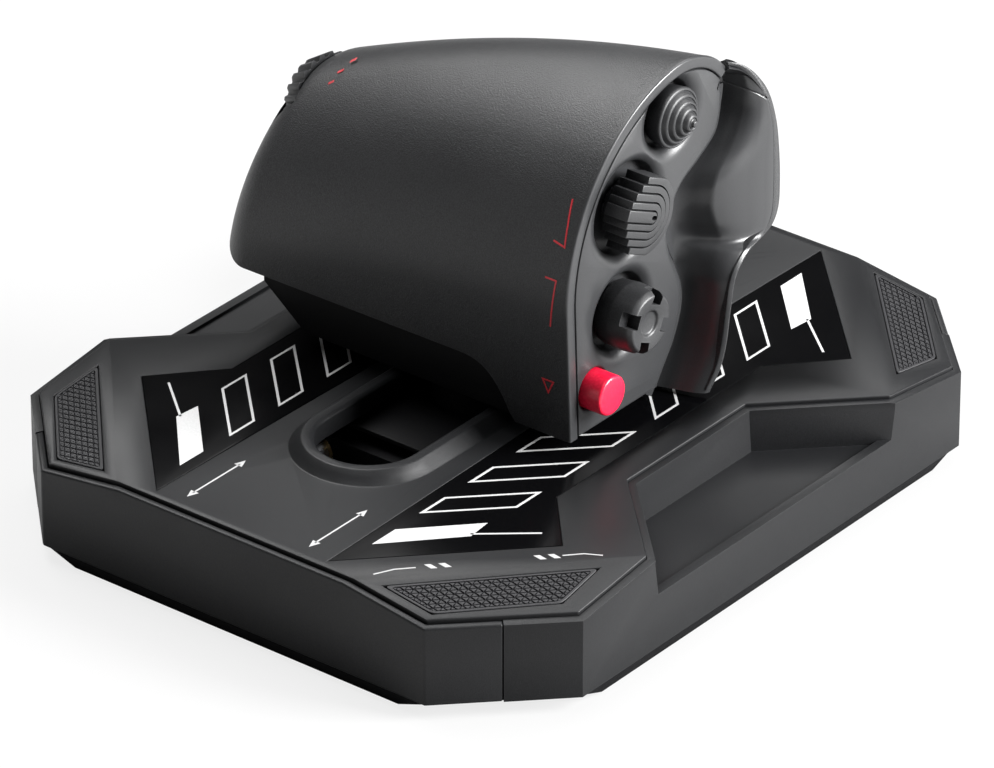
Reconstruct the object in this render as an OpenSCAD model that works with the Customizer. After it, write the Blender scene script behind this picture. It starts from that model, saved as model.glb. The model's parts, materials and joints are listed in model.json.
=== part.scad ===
// Left-hand flight throttle on a sliding base.
// +Y points away from the pilot (full thrust), +X to the pilot's right, +Z up.
// The origin is on the desk under the middle of the base.  All sizes in mm.

/* [Base] */
// Width of the base across its side walls
base_w = 201; // [200:1:204]
// Length of the base from the near wall to the far wall
base_l = 239; // [238:1:242]
// Size of the corner chamfers in plan
base_corner = 31; // [28:1:34]
// Height of the deck above the desk
deck_h = 34.4; // [34.2:0.1:34.8]
// Thickness of the outer walls
wall_t = 2.3; // [2:0.1:2.6]
// Half width of the deck at its waist
waist_x = 68.4; // [67:0.2:70]
// Half length of the deck's side edges, where the notches start
notch_y = 57; // [56:0.5:59]
// Slope of the four corner facets
facet_tilt = 10.5; // [8:0.5:11]
// Height of the side tray floors
tray_floor = 20.6; // [20:0.1:21.5]
// Spacing of the threaded inserts across the base
mount_x = 120; // [116:1:124]
// Spacing of the threaded inserts along the base
mount_y = 160; // [156:1:164]

/* [Slot and slide] */
// Half width of the slot in the deck
slot_r = 15.8; // [15.6:0.1:16.4]
// Distance from the middle of the slot to its end arcs
slot_end = 57.8; // [57:0.2:60]
// Height of the raised rim around the slot
rim_h = 3.6; // [3:0.1:3.8]
// Spread of the rim's foot
rim_foot = 7.2; // [6:0.2:8]
// Place of the stem at rest along the slot
stem_y = 3; // [0:0.5:5]
// Diameter of the guide rods
rod_d = 8; // [6:0.5:8]
// Distance between the guide rods
rod_gap = 56; // [54:1:58]
// Length of the carriage
carriage_l = 100; // [96:1:101]
// Running clearance of the bushes on the rods
bush_play = 0.05; // [0.02:0.01:0.1]

/* [Grip] */
// Height of the grip's underside
grip_z = 39.2; // [39:0.1:40]
// Place of the flat thumb face
face_x = 48.5; // [48:0.1:49]
// Place of the rounded outer end
end_x = -76.5; // [-78:0.5:-75]
// Place of the palm face
palm_y = -29.7; // [-31:0.1:-29]
// Radius of the palm arc
palm_r = 58; // [57:0.5:59]
// Height of the ridge over the thumb face
ridge_z = 139.8; // [139.4:0.2:140.6]
// Thickness of the grip shells
shell_t = 2.2; // [1.8:0.1:2.4]
// Rounding of the outer end
end_round = 11; // [9:0.5:12]
// Height of the palm shell's lower edge at the outer end
skirt_z = 55.6; // [54:0.2:57]

/* [Controls] */
// Radius of the upper ringed hat
upper_hat_r = 9.1; // [8.6:0.1:9.1]
// Radius of the middle ribbed hat
middle_hat_r = 12.2; // [11.5:0.1:12.4]
// Radius of the lower castle hat
lower_hat_r = 10; // [9.5:0.1:10.1]
// Radius of the red button
red_button_r = 6.1; // [5.5:0.1:6.3]
// Radius of the dial knob where it meets the shell
dial_r = 16.5; // [16:0.1:16.8]
// Number of ribs on the dial knob
dial_ribs = 24; // [18:1:28]
// Radius of the finger buttons
finger_button_r = 5; // [4.5:0.1:5.4]
// Radius of the mini stick's cap
stick_cap_r = 7.5; // [6.5:0.1:8]

/* [Hidden] */
$fn = 48;

charcoal = "#2b2c2f";
graphite = "#1d1e20";
gloss_black = "#08080a";
rubber_grey = "#333437";
steel = "#a9acb0";
brass = "#b5974c";
board_green = "#1d4a33";
red = "#d3122c";

// heights in the base
floor_z = 0.6;
plate_top = 4.6;
wall_top = deck_h - 1;
skin = 3;
deck_under = deck_h - skin;
ledge_z = deck_h - 7;
deck_gap = 0.2;
notch_in = notch_y - (base_w / 2 - wall_t - deck_gap - waist_x);
seam = 0.1;

// crease line of the corner facets: a point on it and its turn in plan
crease_x = 68.8;
crease_y = 88.4;
crease_turn = 47.6;

// slide
rod_r = rod_d / 2;
rod_x = rod_gap / 2;
rod_z = 18;
rod_half = 106;
block_y = 98;
block_t = 10;
carriage_w = 76;
carriage_z0 = 12;
carriage_z1 = 24;
bush_l = 14;
rear_stop = stem_y - 45 - carriage_l / 2 - 0.5;
front_stop = stem_y + 35 + carriage_l / 2 + 0.5;
rail_z = 10.5;
stem_r = 15;
stem_half = 9;
cover_half = 46.8;

// thumb controls: place (y, z) on the thumb face and radius of the recess
upper_at = [17.8, 124.4];
middle_at = [-1.6, 102.8];
lower_at = [-4.2, 70.8];
red_at = [-17.5, 52.3];
upper_cup = upper_hat_r + 1.1;
middle_cup = middle_hat_r + 1.8;
lower_cup = lower_hat_r + 1.7;
panel_t = 2.5;
cup_floor = 5;
cup_base = 3;
pivot_x = face_x - cup_floor - cup_base / 2;
ring_r = 5.5;
ring_hole = 3.2;
ring_t = 2;
pin_r = 0.8;
pin_bore = 0.85;
stalk_r = 2.2;
hat_turn = 25;
board_x = 29;
board_t = 1.6;
lip_w = 3.6;
trim_w = lip_w + 0.2;
board_posts = [[-14, 88], [12, 86], [8, 52], [2, 122]];

// dial
dial_tilt = 12;
dial_at = [-64, 4, 96];
dial_t = 7.5;
dial_taper = 2.8;
dial_play = 0.9;

// finger side
stick_at = [32, 44, 97];
index_at = [8, 96];
finger_at = [-12, 93];
rocker_x = -10;
rocker_y = 18;
rocker_half = 32;
rocker_z0 = 46;
rocker_z1 = 68;

// ---------- plan outlines of the base ----------

// a quarter outline (x > 0, y > 0) repeated into all four quarters
function four(q) = let (n = len(q)) concat(q,
    [for (i = [n - 1:-1:0]) [q[i][0], -q[i][1]]],
    [for (p = q) [-p[0], -p[1]]],
    [for (i = [n - 1:-1:0]) [-q[i][0], q[i][1]]]);

// chamfered rectangle of the base, moved in by t; cut makes the chamfers larger
function octagon(t, cut = 0) = let (w = base_w / 2 - t, l = base_l / 2 - t,
    c = base_corner + cut - t * (2 - sqrt(2))) four([[w - c, l], [w, l - c]]);

// deck with its waist, moved in by t from its own edge
function deck_outline(t) = let (e = t + wall_t + deck_gap, w = base_w / 2 - e, l = base_l / 2 - e,
    c = base_corner - e * (2 - sqrt(2)), k = t * (sqrt(2) - 1))
    four([[w - c, l], [w, l - c], [w, notch_y + k], [waist_x - t, notch_in + k]]);

module at_corners() {
    for (sx = [0, 1], sy = [0, 1]) mirror([sx, 0, 0]) mirror([0, sy, 0]) children();
}

// frame of one corner facet: x along the crease, y outwards, z up from its surface
module on_facet() {
    translate([crease_x, crease_y, deck_h]) rotate([0, 0, -crease_turn]) rotate([-facet_tilt, 0, 0]) children();
}

// everything above the four facets, lowered by drop
module above_facets(drop) {
    at_corners() on_facet() translate([-60, 0, -drop]) cube([120, 60, 20]);
}

module stadium(half, r) {
    square([2 * r, 2 * half], center = true);
    for (s = [-1, 1]) translate([0, s * half]) circle(r);
}

module slab(z0, z1) {
    translate([0, 0, z0]) linear_extrude(z1 - z0) children();
}

// ---------- base ----------

screw_at = [[88, 84], [50, 108]];
waist_screw_x = 58;
screw_r = 1.5;
screw_hole = 1.7;
head_r = 3;
head_pocket = 3.2;
foot_at = [66, 96];
foot_r = 10;

module screw_places() {
    at_corners() for (p = screw_at) translate(p) children();
    for (s = [-1, 1]) translate([s * waist_screw_x, 0]) children();
}

module bottom_plate() {
    boss_top = 9;
    color(graphite) difference() {
        union() {
            hull() {
                slab(floor_z, floor_z + 0.1) polygon(octagon(1.6, 10));
                slab(plate_top - 0.1, plate_top) polygon(octagon(1.2));
            }
            at_corners() translate([mount_x / 2, mount_y / 2]) cylinder(h = boss_top, r = 5);
        }
        translate([0, 0, floor_z - 5]) cylinder(h = 5, r = 200);
        screw_places() {
            cylinder(h = 10, r = screw_hole);
            cylinder(h = floor_z + 1.8, r = head_pocket);
        }
        at_corners() translate([mount_x / 2, mount_y / 2]) cylinder(h = 12, r = 3);
        at_corners() translate(foot_at) cylinder(h = 2.5, r = foot_r + 0.1);
        cylinder(h = 3.4, r = 6.2);
        cylinder(h = 10, r = 3.2);
    }
}

module wall_ring() {
    difference() {
        slab(plate_top, wall_top) polygon(octagon(0));
        slab(plate_top - 1, ledge_z - 3) polygon(octagon(wall_t));
        slab(ledge_z - 4, ledge_z) polygon(octagon(6));
        slab(ledge_z, wall_top + 1) polygon(octagon(wall_t));
        above_facets(1);
    }
}

// plan wedge that holds one end wall, cut at the middle of the corner chamfers
module end_wedge() {
    m = base_corner / 2;
    x = base_w / 2 - m;
    y = base_l / 2 - m;
    polygon([[-x - 30, y + 30 + seam], [x + 30, y + 30 + seam], [x - 14, y - 14 + seam], [14 - x, y - 14 + seam]]);
}

// plan wedge that holds one side wall
module side_wedge() {
    m = base_corner / 2;
    x = base_w / 2 - m;
    y = base_l / 2 - m;
    inner = waist_x - 8;
    polygon([[x + 30 + seam, y + 30], [inner + seam, y - x + inner], [inner + seam, x - y - inner],
        [x + 30 + seam, -y - 30]]);
}

module end_wall() {
    intersection() {
        wall_ring();
        slab(0, 40) end_wedge();
    }
}

module rear_wall() {
    color(charcoal) mirror([0, 1, 0]) end_wall();
}

usb_at = [60, 13];
pedal_at = [-61.5, 15.5];
socket_fit = 0.15;

module front_wall() {
    color(charcoal) difference() {
        end_wall();
        translate([usb_at[0] - 4.6, base_l / 2 - 10, usb_at[1] - 1.8]) cube([9.2, 20, 3.6]);
        translate([pedal_at[0] - 6.6, base_l / 2 - 10, pedal_at[1] - 6.6]) cube([13.2, 20, 13.2]);
    }
}

// the notch beside the deck's waist, moved outwards by t from the deck's edge
function notch(t) = let (x = waist_x + t, y = notch_in - t * (sqrt(2) - 1), far = base_w / 2 + 12)
    [[x, y], [far, y + far - x], [far, x - y - far], [x, -y]];

// hollow of one side tray, grown by t all round and running up to z1
tray_rim = 2.2;
tray_slope = 1.2;
tray_end_slope = 2.5;
module tray_hollow(t, z1) {
    m = deck_gap + tray_rim - t;
    hull() {
        slab(tray_floor - t, tray_floor - t + 0.1) intersection() {
            polygon(notch(m + tray_slope));
            square([400, 2 * (notch_in + base_w / 2 - waist_x - tray_end_slope)], center = true);
        }
        slab(deck_under - 0.1, z1) polygon(notch(m));
    }
}

module right_tray_wall() {
    lip = 1.1;
    difference() {
        union() {
            intersection() {
                wall_ring();
                slab(0, 40) side_wedge();
            }
            intersection() {
                tray_hollow(tray_rim, deck_under);
                slab(0, deck_under) polygon(octagon(0));
            }
            intersection() {
                slab(deck_under - 0.5, wall_top) polygon(notch(deck_gap));
                slab(0, 40) polygon(octagon(0));
            }
        }
        intersection() {
            tray_hollow(0, 40);
            union() {
                translate([0, -100, tray_floor + lip]) cube([150, 200, 30]);
                slab(tray_floor, tray_floor + 4) polygon(octagon(3));
            }
        }
        above_facets(1);
    }
}

module right_side_wall() {
    color(charcoal) right_tray_wall();
}

module left_side_wall() {
    color(charcoal) mirror([1, 0, 0]) right_tray_wall();
}

// outline of one glossy deck inlay, grown by t
function inlay(t) = [[31.1 - t, 113.9 + t], [76.5 + t, 67.2 + t / 2], [58.9 + t, 47.5], [58.9 + t, -47.5],
    [76.5 + t, -67.2 - t / 2], [31.1 - t, -113.9 - t], [28.6 - t, 0]];
inlay_t = 1.2;
pad_t = 1.2;
pad = [[-31, 4], [29, 4], [16.5, 17], [-19.5, 17]];
function grown_pad(t) = [[-31 - 2 * t, 4 - t], [29 + 2 * t, 4 - t], [16.5 + t, 17 + t], [-19.5 - t, 17 + t]];

module rim_half(r_end) {
    profile = [[slot_r, -0.5], [slot_r + rim_foot, -0.5], [slot_r + rim_foot, 0], [slot_r + 3.6, rim_h],
        [slot_r + 1, rim_h], [slot_r, rim_h - 0.8]];
    translate([0, slot_end, deck_h]) rotate_extrude(angle = 180) polygon(profile);
    for (s = [0, 1]) mirror([s, 0, 0])
        translate([0, slot_end, deck_h]) rotate([90, 0, 0]) linear_extrude(slot_end) polygon(profile);
}

module deck_cover() {
    edge = wall_t + deck_gap;
    color(charcoal) difference() {
        union() {
            slab(deck_under, deck_h) polygon(deck_outline(0));
            difference() {
                slab(ledge_z, deck_under + 1) polygon(octagon(edge));
                intersection() {
                    slab(ledge_z - 1, deck_under) polygon(octagon(edge + 2));
                    difference() {
                        translate([-150, -150, 0]) cube([300, 300, 50]);
                        at_corners() translate([crease_x, crease_y, 0]) rotate([0, 0, -crease_turn])
                            translate([-60, 0, 0]) cube([120, 60, 60]);
                    }
                }
                for (s = [-1, 1]) translate([s * 100 - 40, -notch_y - 3, 0]) cube([80, 2 * notch_y + 6, 60]);
            }
            for (s = [0, 1]) mirror([0, s, 0]) rim_half();
            screw_places() translate([0, 0, plate_top]) cylinder(h = deck_under - plate_top + 0.5, r = 4);
        }
        slab(deck_under - 1, deck_h + rim_h + 1) stadium(slot_end, slot_r);
        for (s = [0, 1]) mirror([s, 0, 0]) slab(deck_h - inlay_t, deck_h + 1) polygon(inlay(0.15));
        above_facets(0);
        at_corners() on_facet() translate([0, 0, -pad_t]) linear_extrude(5) polygon(grown_pad(0.15));
        screw_places() translate([0, 0, 4]) cylinder(h = 16, r = screw_r + 0.05);
    }
}

module deck_inlay() {
    slab(deck_h - inlay_t, deck_h) polygon(inlay(0));
}

module right_deck_inlay() {
    color(gloss_black) deck_inlay();
}

module left_deck_inlay() {
    color(gloss_black) mirror([1, 0, 0]) deck_inlay();
}

module corner_pads() {
    color(rubber_grey) at_corners() on_facet() translate([0, 0, -pad_t]) linear_extrude(pad_t) polygon(pad);
}

module rubber_feet() {
    color(graphite) at_corners() translate(foot_at) cylinder(h = 2.5, r = foot_r);
}

ballast_t = 4;
ballast_top = plate_top + ballast_t;

module ballast_plate() {
    color(steel) difference() {
        slab(plate_top, ballast_top) square([96, 176], center = true);
        slab(plate_top - 1, ballast_top + 1) square([32, 26], center = true);
        for (x = [-40, 40], y = [-80, 80]) translate([x, y, 0]) cylinder(h = 20, r = 2.2);
    }
}

module guide_rods() {
    color(steel) for (s = [-1, 1])
        translate([s * rod_x, -rod_half, rod_z]) rotate([-90, 0, 0]) cylinder(h = 2 * rod_half, r = rod_r);
}

module rod_block() {
    color(graphite) difference() {
        translate([-38, block_y, plate_top]) cube([76, block_t, 20.4]);
        for (s = [-1, 1]) translate([s * rod_x, 0, rod_z]) rotate([-90, 0, 0])
            cylinder(h = block_y + block_t + 1, r = rod_r + 0.02);
    }
}

module front_rod_block() {
    rod_block();
}

module rear_rod_block() {
    mirror([0, 1, 0]) rod_block();
}

module bumper(y0, y1) {
    for (s = [-1, 1]) translate([s * rod_x, y0, rod_z]) rotate([-90, 0, 0]) difference() {
        cylinder(h = y1 - y0, r = rod_r + 3);
        translate([0, 0, -1]) cylinder(h = y1 - y0 + 2, r = rod_r + 0.02);
    }
}

module end_bumpers() {
    color(rubber_grey) {
        bumper(-block_y, rear_stop);
        bumper(front_stop, block_y);
    }
}

// friction brake: the screw lifts a shoe against the rail on the carriage
shoe_z0 = 8;
shoe_z1 = rail_z - 0.3;

module brake_bracket() {
    color(graphite) difference() {
        slab(plate_top, rail_z - 0.9) square([30, 24], center = true);
        slab(shoe_z0 - 0.4, rail_z) square([16.4, 10.4], center = true);
        cylinder(h = 12, r = 3.05);
    }
}

module tension_screw() {
    color(graphite) difference() {
        union() {
            translate([0, 0, floor_z + 0.2]) cylinder(h = 2.1, r = 6);
            translate([0, 0, floor_z + 1]) cylinder(h = shoe_z0 - 0.2 - floor_z - 1, r = 3);
        }
        translate([-5, -0.75, 0]) cube([10, 1.5, floor_z + 1.2]);
    }
}

module brake_shoe() {
    color(rubber_grey) slab(shoe_z0, shoe_z1) square([16, 10], center = true);
}

module slide_sensor_board() {
    color(board_green) {
        translate([22, -60, ballast_top]) cube([10, 120, 1.2]);
    }
}

module chip(x, y, w, l, h, z) {
    translate([x - w / 2, y - l / 2, z]) cube([w, l, h]);
}

module main_board() {
    z = 10.2;
    color(board_green) {
        difference() {
            translate([48, 64, z]) cube([30, 38, 1.6]);
            for (x = [51, 75], y = [97]) translate([x, y, z - 1]) cylinder(h = 4, r = 1.6);
        }
        for (p = [[52, 68], [74, 68], [60, 98]])
            translate([p[0], p[1], plate_top]) cylinder(h = z - plate_top + 0.5, r = 1.8);
        chip(62, 84, 10, 10, 1.6, z + 1.5);
        chip(68, 73, 5, 8, 2, z + 1.5);
        chip(57, 75, 4, 6, 1.8, z + 1.5);
    }
}

module usb_socket() {
    color(steel) translate([usb_at[0], 0, usb_at[1]]) {
        difference() {
            translate([-4.45, 106, -1.65]) cube([8.9, base_l / 2 - 106.1, 3.3]);
            translate([-4.1, 112, -1.3]) cube([8.2, 20, 2.6]);
        }
        translate([-3.4, 110, -0.35]) cube([6.8, 8, 0.7]);
    }
}

module pedal_socket() {
    w = 13.2 - 2 * socket_fit;
    color(graphite) translate([pedal_at[0], 0, pedal_at[1]]) difference() {
        translate([-w / 2, 104, -w / 2]) cube([w, base_l / 2 - 104.1, w]);
        translate([-4.9, 108, -3.4]) cube([9.8, 20, 6.8]);
        translate([-2, 108, -5]) cube([4, 20, 3]);
    }
}

module base_screws() {
    color(steel) screw_places() difference() {
        union() {
            translate([0, 0, floor_z + 0.2]) cylinder(h = 1.6, r = head_r);
            translate([0, 0, floor_z + 1]) cylinder(h = 14, r = screw_r);
        }
        translate([0, 0, floor_z]) cylinder(h = 1.2, r = 1.2, $fn = 6);
    }
}

module mount_inserts() {
    color(brass) at_corners() translate([mount_x / 2, mount_y / 2, floor_z]) difference() {
        cylinder(h = 8, r = 3);
        translate([0, 0, -1]) cylinder(h = 10, r = 2);
    }
}

// ---------- carriage ----------

module on_stem() {
    translate([0, stem_y, 0]) children();
}

module stem_screw_places() {
    for (x = [-9, 9], y = [-11, 11]) translate([x, stem_y + y, 0]) children();
}

module carriage() {
    color(graphite) difference() {
        translate([-carriage_w / 2, stem_y - carriage_l / 2, carriage_z0])
            cube([carriage_w, carriage_l, carriage_z1 - carriage_z0]);
        for (s = [-1, 1]) {
            translate([s * rod_x, stem_y - carriage_l, rod_z]) rotate([-90, 0, 0])
                cylinder(h = 2 * carriage_l, r = rod_r + 1);
            for (e = [-1, 1]) translate([s * rod_x, stem_y + e * (carriage_l / 2) - bush_l, rod_z])
                rotate([-90, 0, 0]) cylinder(h = 2 * bush_l, r = rod_r + 1.5);
            translate([-14, stem_y + s * 32 - 9, carriage_z0 - 1]) cube([28, 18, 20]);
        }
        stem_screw_places() {
            translate([0, 0, carriage_z0 - 1]) cylinder(h = 20, r = screw_hole);
            translate([0, 0, carriage_z0 - 1]) cylinder(h = 4, r = head_pocket);
        }
    }
}

module carriage_bushes() {
    color(brass) for (s = [-1, 1], e = [0, 1])
        translate([s * rod_x, stem_y - carriage_l / 2 + e * (carriage_l - bush_l), rod_z]) rotate([-90, 0, 0])
            difference() {
                cylinder(h = bush_l, r = rod_r + 1.48);
                translate([0, 0, -1]) cylinder(h = bush_l + 2, r = rod_r + bush_play);
            }
}

module brake_rail() {
    color(steel) translate([-5, stem_y - carriage_l / 2, rail_z]) cube([10, carriage_l, carriage_z0 - rail_z]);
}

module sensor_magnet() {
    color(steel) translate([23, stem_y - 4, ballast_top + 1.9]) cube([8, 8, carriage_z0 - ballast_top - 1.9]);
}

cover_z = 27.5;

module dust_cover() {
    color(graphite) on_stem() difference() {
        slab(cover_z, cover_z + 1.6) square([2 * (slot_r + 6), 2 * cover_half], center = true);
        slab(cover_z - 1, cover_z + 3) stadium(stem_half, stem_r + 0.05);
    }
}

module grip_stem() {
    color(graphite) difference() {
        on_stem() {
            slab(carriage_z1, cover_z) stadium(stem_half, stem_r + 2);
            slab(cover_z, grip_z) stadium(stem_half, stem_r);
            slab(grip_z, 52) circle(11);
        }
        stem_screw_places() translate([0, 0, carriage_z1 - 1]) cylinder(h = 12, r = screw_r + 0.05);
        on_stem() slab(carriage_z1 - 1, 60) circle(4);
    }
}

module stem_screws() {
    color(steel) stem_screw_places() {
        translate([0, 0, carriage_z0 + 0.2]) cylinder(h = 2.8, r = head_r);
        translate([0, 0, carriage_z0 + 2]) cylinder(h = 20, r = screw_r);
    }
}

// ---------- grip shells: computed surfaces ----------

function blend(a, b, k) = a + (b - a) * k;
function station(x) = (face_x - x) / (face_x - end_x);

// how far a section shrinks inside the rounded outer end
function shrink(x) = let (d = max(0, x - end_x))
    d >= end_round ? 0 : end_round - sqrt(end_round * end_round - pow(end_round - d, 2));

// ridge height along the grip: highest at the thumb face, falling outwards
function ridge(x) = let (d = face_x - x) ridge_z - 0.062 * d - 0.0009 * d * d;

// lower edge of the palm shell: high outside, dropping to the deck near the thumb
skirt_from = 8;
skirt_run = 20;
function skirt(x) = skirt_z - (skirt_z - grip_z) * pow(min(1, max(0, (x - skirt_from) / skirt_run)), 3);

// sections lean more and more towards the outer end
end_lean = 12;
lean_z = 70;
function leaned(x, y, z) = [x + (z - lean_z) * tan(end_lean * pow(station(x), 2)), y, z];

// values of a palm section: [radius, y and z of the palm arc, start angle, radius,
// y and z of the front corner arc, its end angle]
function section(x) = let (s = station(x), a = blend(100, 131, s), rc = blend(26, 24, s), e = shrink(x),
    cy = palm_y + palm_r, cz = ridge(x) - palm_r)
    [palm_r - e, cy, cz, a, rc - e, cy + (palm_r - rc) * cos(a), cz + (palm_r - rc) * sin(a), blend(38, 28, s)];

// palm profile at x, moved in by t, as [y, z] from the lower edge over the ridge to the front seam
rear_steps = 8;
arc_steps = 8;
corner_steps = 6;
palm_lean = 0.042;
function palm_profile(x, t) = let (v = section(x), r = v[0] - t, cy = v[1], cz = v[2],
    z0 = skirt(x) + 1.1 * shrink(x), z1 = cz + r * sin(45)) concat(
    [for (i = [0:rear_steps - 1]) let (z = blend(z0, z1, i / rear_steps))
        [z < cz ? cy - r + palm_lean * (cz - z) : cy - sqrt(r * r - pow(z - cz, 2)), z]],
    [for (i = [0:arc_steps - 1]) let (a = blend(135, v[3], i / arc_steps)) [cy + r * cos(a), cz + r * sin(a)]],
    [for (i = [0:corner_steps]) let (a = blend(v[3], v[7], i / corner_steps))
        [v[5] + (v[4] - t) * cos(a), v[6] + (v[4] - t) * sin(a)]]);

body_stations = 12;
round_angles = [20, 40, 58, 74, 90];
stations = concat([for (i = [0:body_stations - 1]) blend(face_x, end_x + end_round, i / (body_stations - 1))],
    [for (a = round_angles) end_x + end_round * (1 - sin(a))]);

palm_grid = [for (x = stations) [for (p = palm_profile(x, 0)) leaned(x, p[0], p[1])]];

// a grid of points given thickness t on its inner side
function grid_normal(g, i, j) = let (n = len(g) - 1, m = len(g[0]) - 1,
    u = g[min(n, i + 1)][j] - g[max(0, i - 1)][j], v = g[i][min(m, j + 1)] - g[i][max(0, j - 1)],
    c = cross(u, v)) c / norm(c);

// two triangles of a four-cornered patch
function patch(a, b, c, d) = [[c, b, a], [d, c, a]];

module thick_grid(g, t) {
    n = len(g);
    m = len(g[0]);
    outer = [for (i = [0:n - 1]) for (j = [0:m - 1]) g[i][j]];
    inner = [for (i = [0:n - 1]) for (j = [0:m - 1]) g[i][j] + t * grid_normal(g, i, j)];
    k = n * m;
    e = (n - 1) * m;
    skins = [for (i = [0:n - 2]) for (j = [0:m - 2]) let (a = i * m + j, b = a + m) each concat(
        patch(a, a + 1, b + 1, b), patch(k + a, k + b, k + b + 1, k + a + 1))];
    sides = [for (i = [0:n - 2]) let (a = i * m, b = a + m) each concat(
        patch(a, b, k + b, k + a), patch(a + m - 1, k + a + m - 1, k + b + m - 1, b + m - 1))];
    ends = [for (j = [0:m - 2]) each concat(patch(j, k + j, k + j + 1, j + 1),
        patch(e + j, e + j + 1, k + e + j + 1, k + e + j))];
    polyhedron(points = concat(outer, inner), faces = concat(skins, sides, ends), convexity = 8);
}

// frame of the dial: its axis along z, pointing to the outer end
module at_dial() {
    translate(dial_at) rotate([0, -90 - dial_tilt, 0]) children();
}

module dial_clearance() {
    at_dial() translate([0, 0, -0.4]) cylinder(h = dial_t + 0.9, r = dial_r + dial_play);
}

// smooth lip that frames the thumb panel
function ring_between(a, b) = concat(a, [for (i = [len(b) - 1:-1:0]) b[i]]);

module palm_shell() {
    color(charcoal) difference() {
        union() {
            thick_grid(palm_grid, shell_t);
            translate([face_x - panel_t, 0, 0]) rotate([90, 0, 90]) linear_extrude(panel_t - 0.1)
                polygon(ring_between(palm_profile(face_x, 0.7), palm_profile(face_x, lip_w)));
        }
        dial_clearance();
    }
}

// front shell: rows from the bottom to the top seam.  Each row holds the edge of the thumb panel
// as [y, z] and the outline of the flared wing as [y, z, x].
rows = [
    [[13.5, 37.4], [26.8, 37.2, 59.0]],
    [[17.0, 43.0], [28.5, 43.0, 59.3]],
    [[21.5, 50.0], [31.0, 50.0, 59.3]],
    [[25.0, 60.0], [33.8, 60.0, 58.6]],
    [[25.0, 68.0], [36.5, 69.0, 58.4]],
    [[22.5, 75.0], [44.0, 74.3, 58.0]],
    [[20.0, 80.0], [54.0, 75.8, 57.0]],
    [[18.4, 86.0], [58.0, 81.0, 57.0]],
    [[19.5, 92.0], [58.6, 90.0, 57.0]],
    [[24.0, 99.0], [58.2, 100.0, 56.8]],
    [[32.0, 103.5], [56.9, 109.0, 56.0]],
    [[40.0, 109.0], [54.2, 117.5, 54.4]],
    [[42.8, 116.0], [50.4, 123.3, 52.0]],
    [[43.0, 123.0], [47.0, 126.6, 50.0]],
    [[41.8, 126.8], [43.6, 128.4, 48.6]]];
low = rows[0][1];
top = rows[len(rows) - 1][1];

// across the wing: [share of the way from panel edge to outline, share of the dip, share of the flare]
channel_dip = 5;
wing_steps = [[0, 0.2, 0], [0.07, 0.25, 0], [0.17, 0.75, 0], [0.3, 1, 0], [0.43, 0.75, 0.05], [0.55, 0.2, 0.25],
    [0.67, 0, 0.58], [0.79, 0, 0.86], [0.89, 0, 0.98]];
front_steps = [[0.9, 0, 0.985], [0.96, 0, 1], [1, 0, 0.92]];
function wing_point(r, k) = let (a = r[0], b = r[1], d = norm([b[0] - a[0], b[1] - a[1]]), f = b[2] - face_x)
    [face_x - channel_dip * min(1, d / 14) * k[1] + f * k[2], blend(a[0], b[0], k[0]), blend(a[1], b[1], k[0])];

// lower edge of the front shell, chamfered up at the outer end
chamfer_from = -50;
function front_low(x) = grip_z + max(0, chamfer_from - x) * 0.78 + 0.6 * shrink(x);
seam_gap = 0.25;

function front_point(r, x) = let (v = section(x), s = station(x), b = r[1],
    ty = v[5] + v[4] * cos(v[7]), tz = v[6] + v[4] * sin(v[7]) - seam_gap,
    z0 = front_low(x), dy = b[0] - top[0])
    leaned(x, ty + dy * (dy > 0 ? blend(1, 0.6, s) : blend(1, 0.35, min(1, 2 * s))),
        blend(z0, tz, (b[1] - low[1]) / (top[1] - low[1])));

front_stations = concat([46], [for (i = [1:body_stations - 1]) stations[i]],
    [for (i = [0:len(round_angles) - 1]) stations[body_stations + i]]);
wing_grid = [for (r = rows) [for (k = wing_steps) wing_point(r, k)]];
front_grid = [for (r = rows) concat([for (k = front_steps) wing_point(r, k)],
    [for (x = front_stations) front_point(r, x)])];

module wing_panel() {
    color(charcoal) thick_grid(wing_grid, 2);
}

module on_front(x, y, z) {
    translate([x, y, z]) rotate([-90, 0, 0]) children();
}

rocker_gap = 3.4;

module front_shell() {
    color(charcoal) difference() {
        thick_grid(front_grid, 2);
        dial_clearance();
        on_front(stick_at[0], stick_at[1] + 4, stick_at[2]) cylinder(h = 30, r = 9);
        on_front(index_at[0], 38, index_at[1]) cylinder(h = 30, r = finger_button_r + 0.3);
        on_front(finger_at[0], 34, finger_at[1]) cylinder(h = 30, r = finger_button_r + 0.3);
        translate([rocker_x - rocker_half - rocker_gap, 15, rocker_z0 - 1.5])
            cube([2 * (rocker_half + rocker_gap), 30, rocker_z1 - rocker_z0 + 3]);
    }
}

// flat panel on the thumb face, between the palm trim and the wing
panel_low = 39.4;
panel_gap = 1;

// inner edge of the wing at row i, moved in by t across its direction
function edge_in(i, t) = let (a = rows[i - 1][0], b = rows[i + 1][0], d = (b - a) / norm(b - a))
    [rows[i][0][0] - t * d[1], rows[i][0][1] + t * d[0]];

panel_edge = concat([for (p = palm_profile(face_x, trim_w)) if (p[1] > panel_low) p],
    [for (i = [len(rows) - 2:-1:1]) edge_in(i, panel_gap)], [[12.8, panel_low]],
    [[palm_y + trim_w + palm_lean * (ridge(face_x) - palm_r - panel_low), panel_low]]);

// frame on the thumb face: y and z as on the face, x outwards
module thumb_x(at, x) {
    translate([x, at[0], at[1]]) rotate([0, 90, 0]) children();
}

// frame of a hat's pivot, turned on the face so that the hat's own y runs along its ribs
module at_pivot(at) {
    translate([pivot_x, at[0], at[1]]) rotate([-hat_turn, 0, 0]) children();
}

module cup_outside(at, r) {
    thumb_x(at, face_x - cup_floor - cup_base) cylinder(h = cup_floor + cup_base - 1, r = r + 1.2);
}

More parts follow.
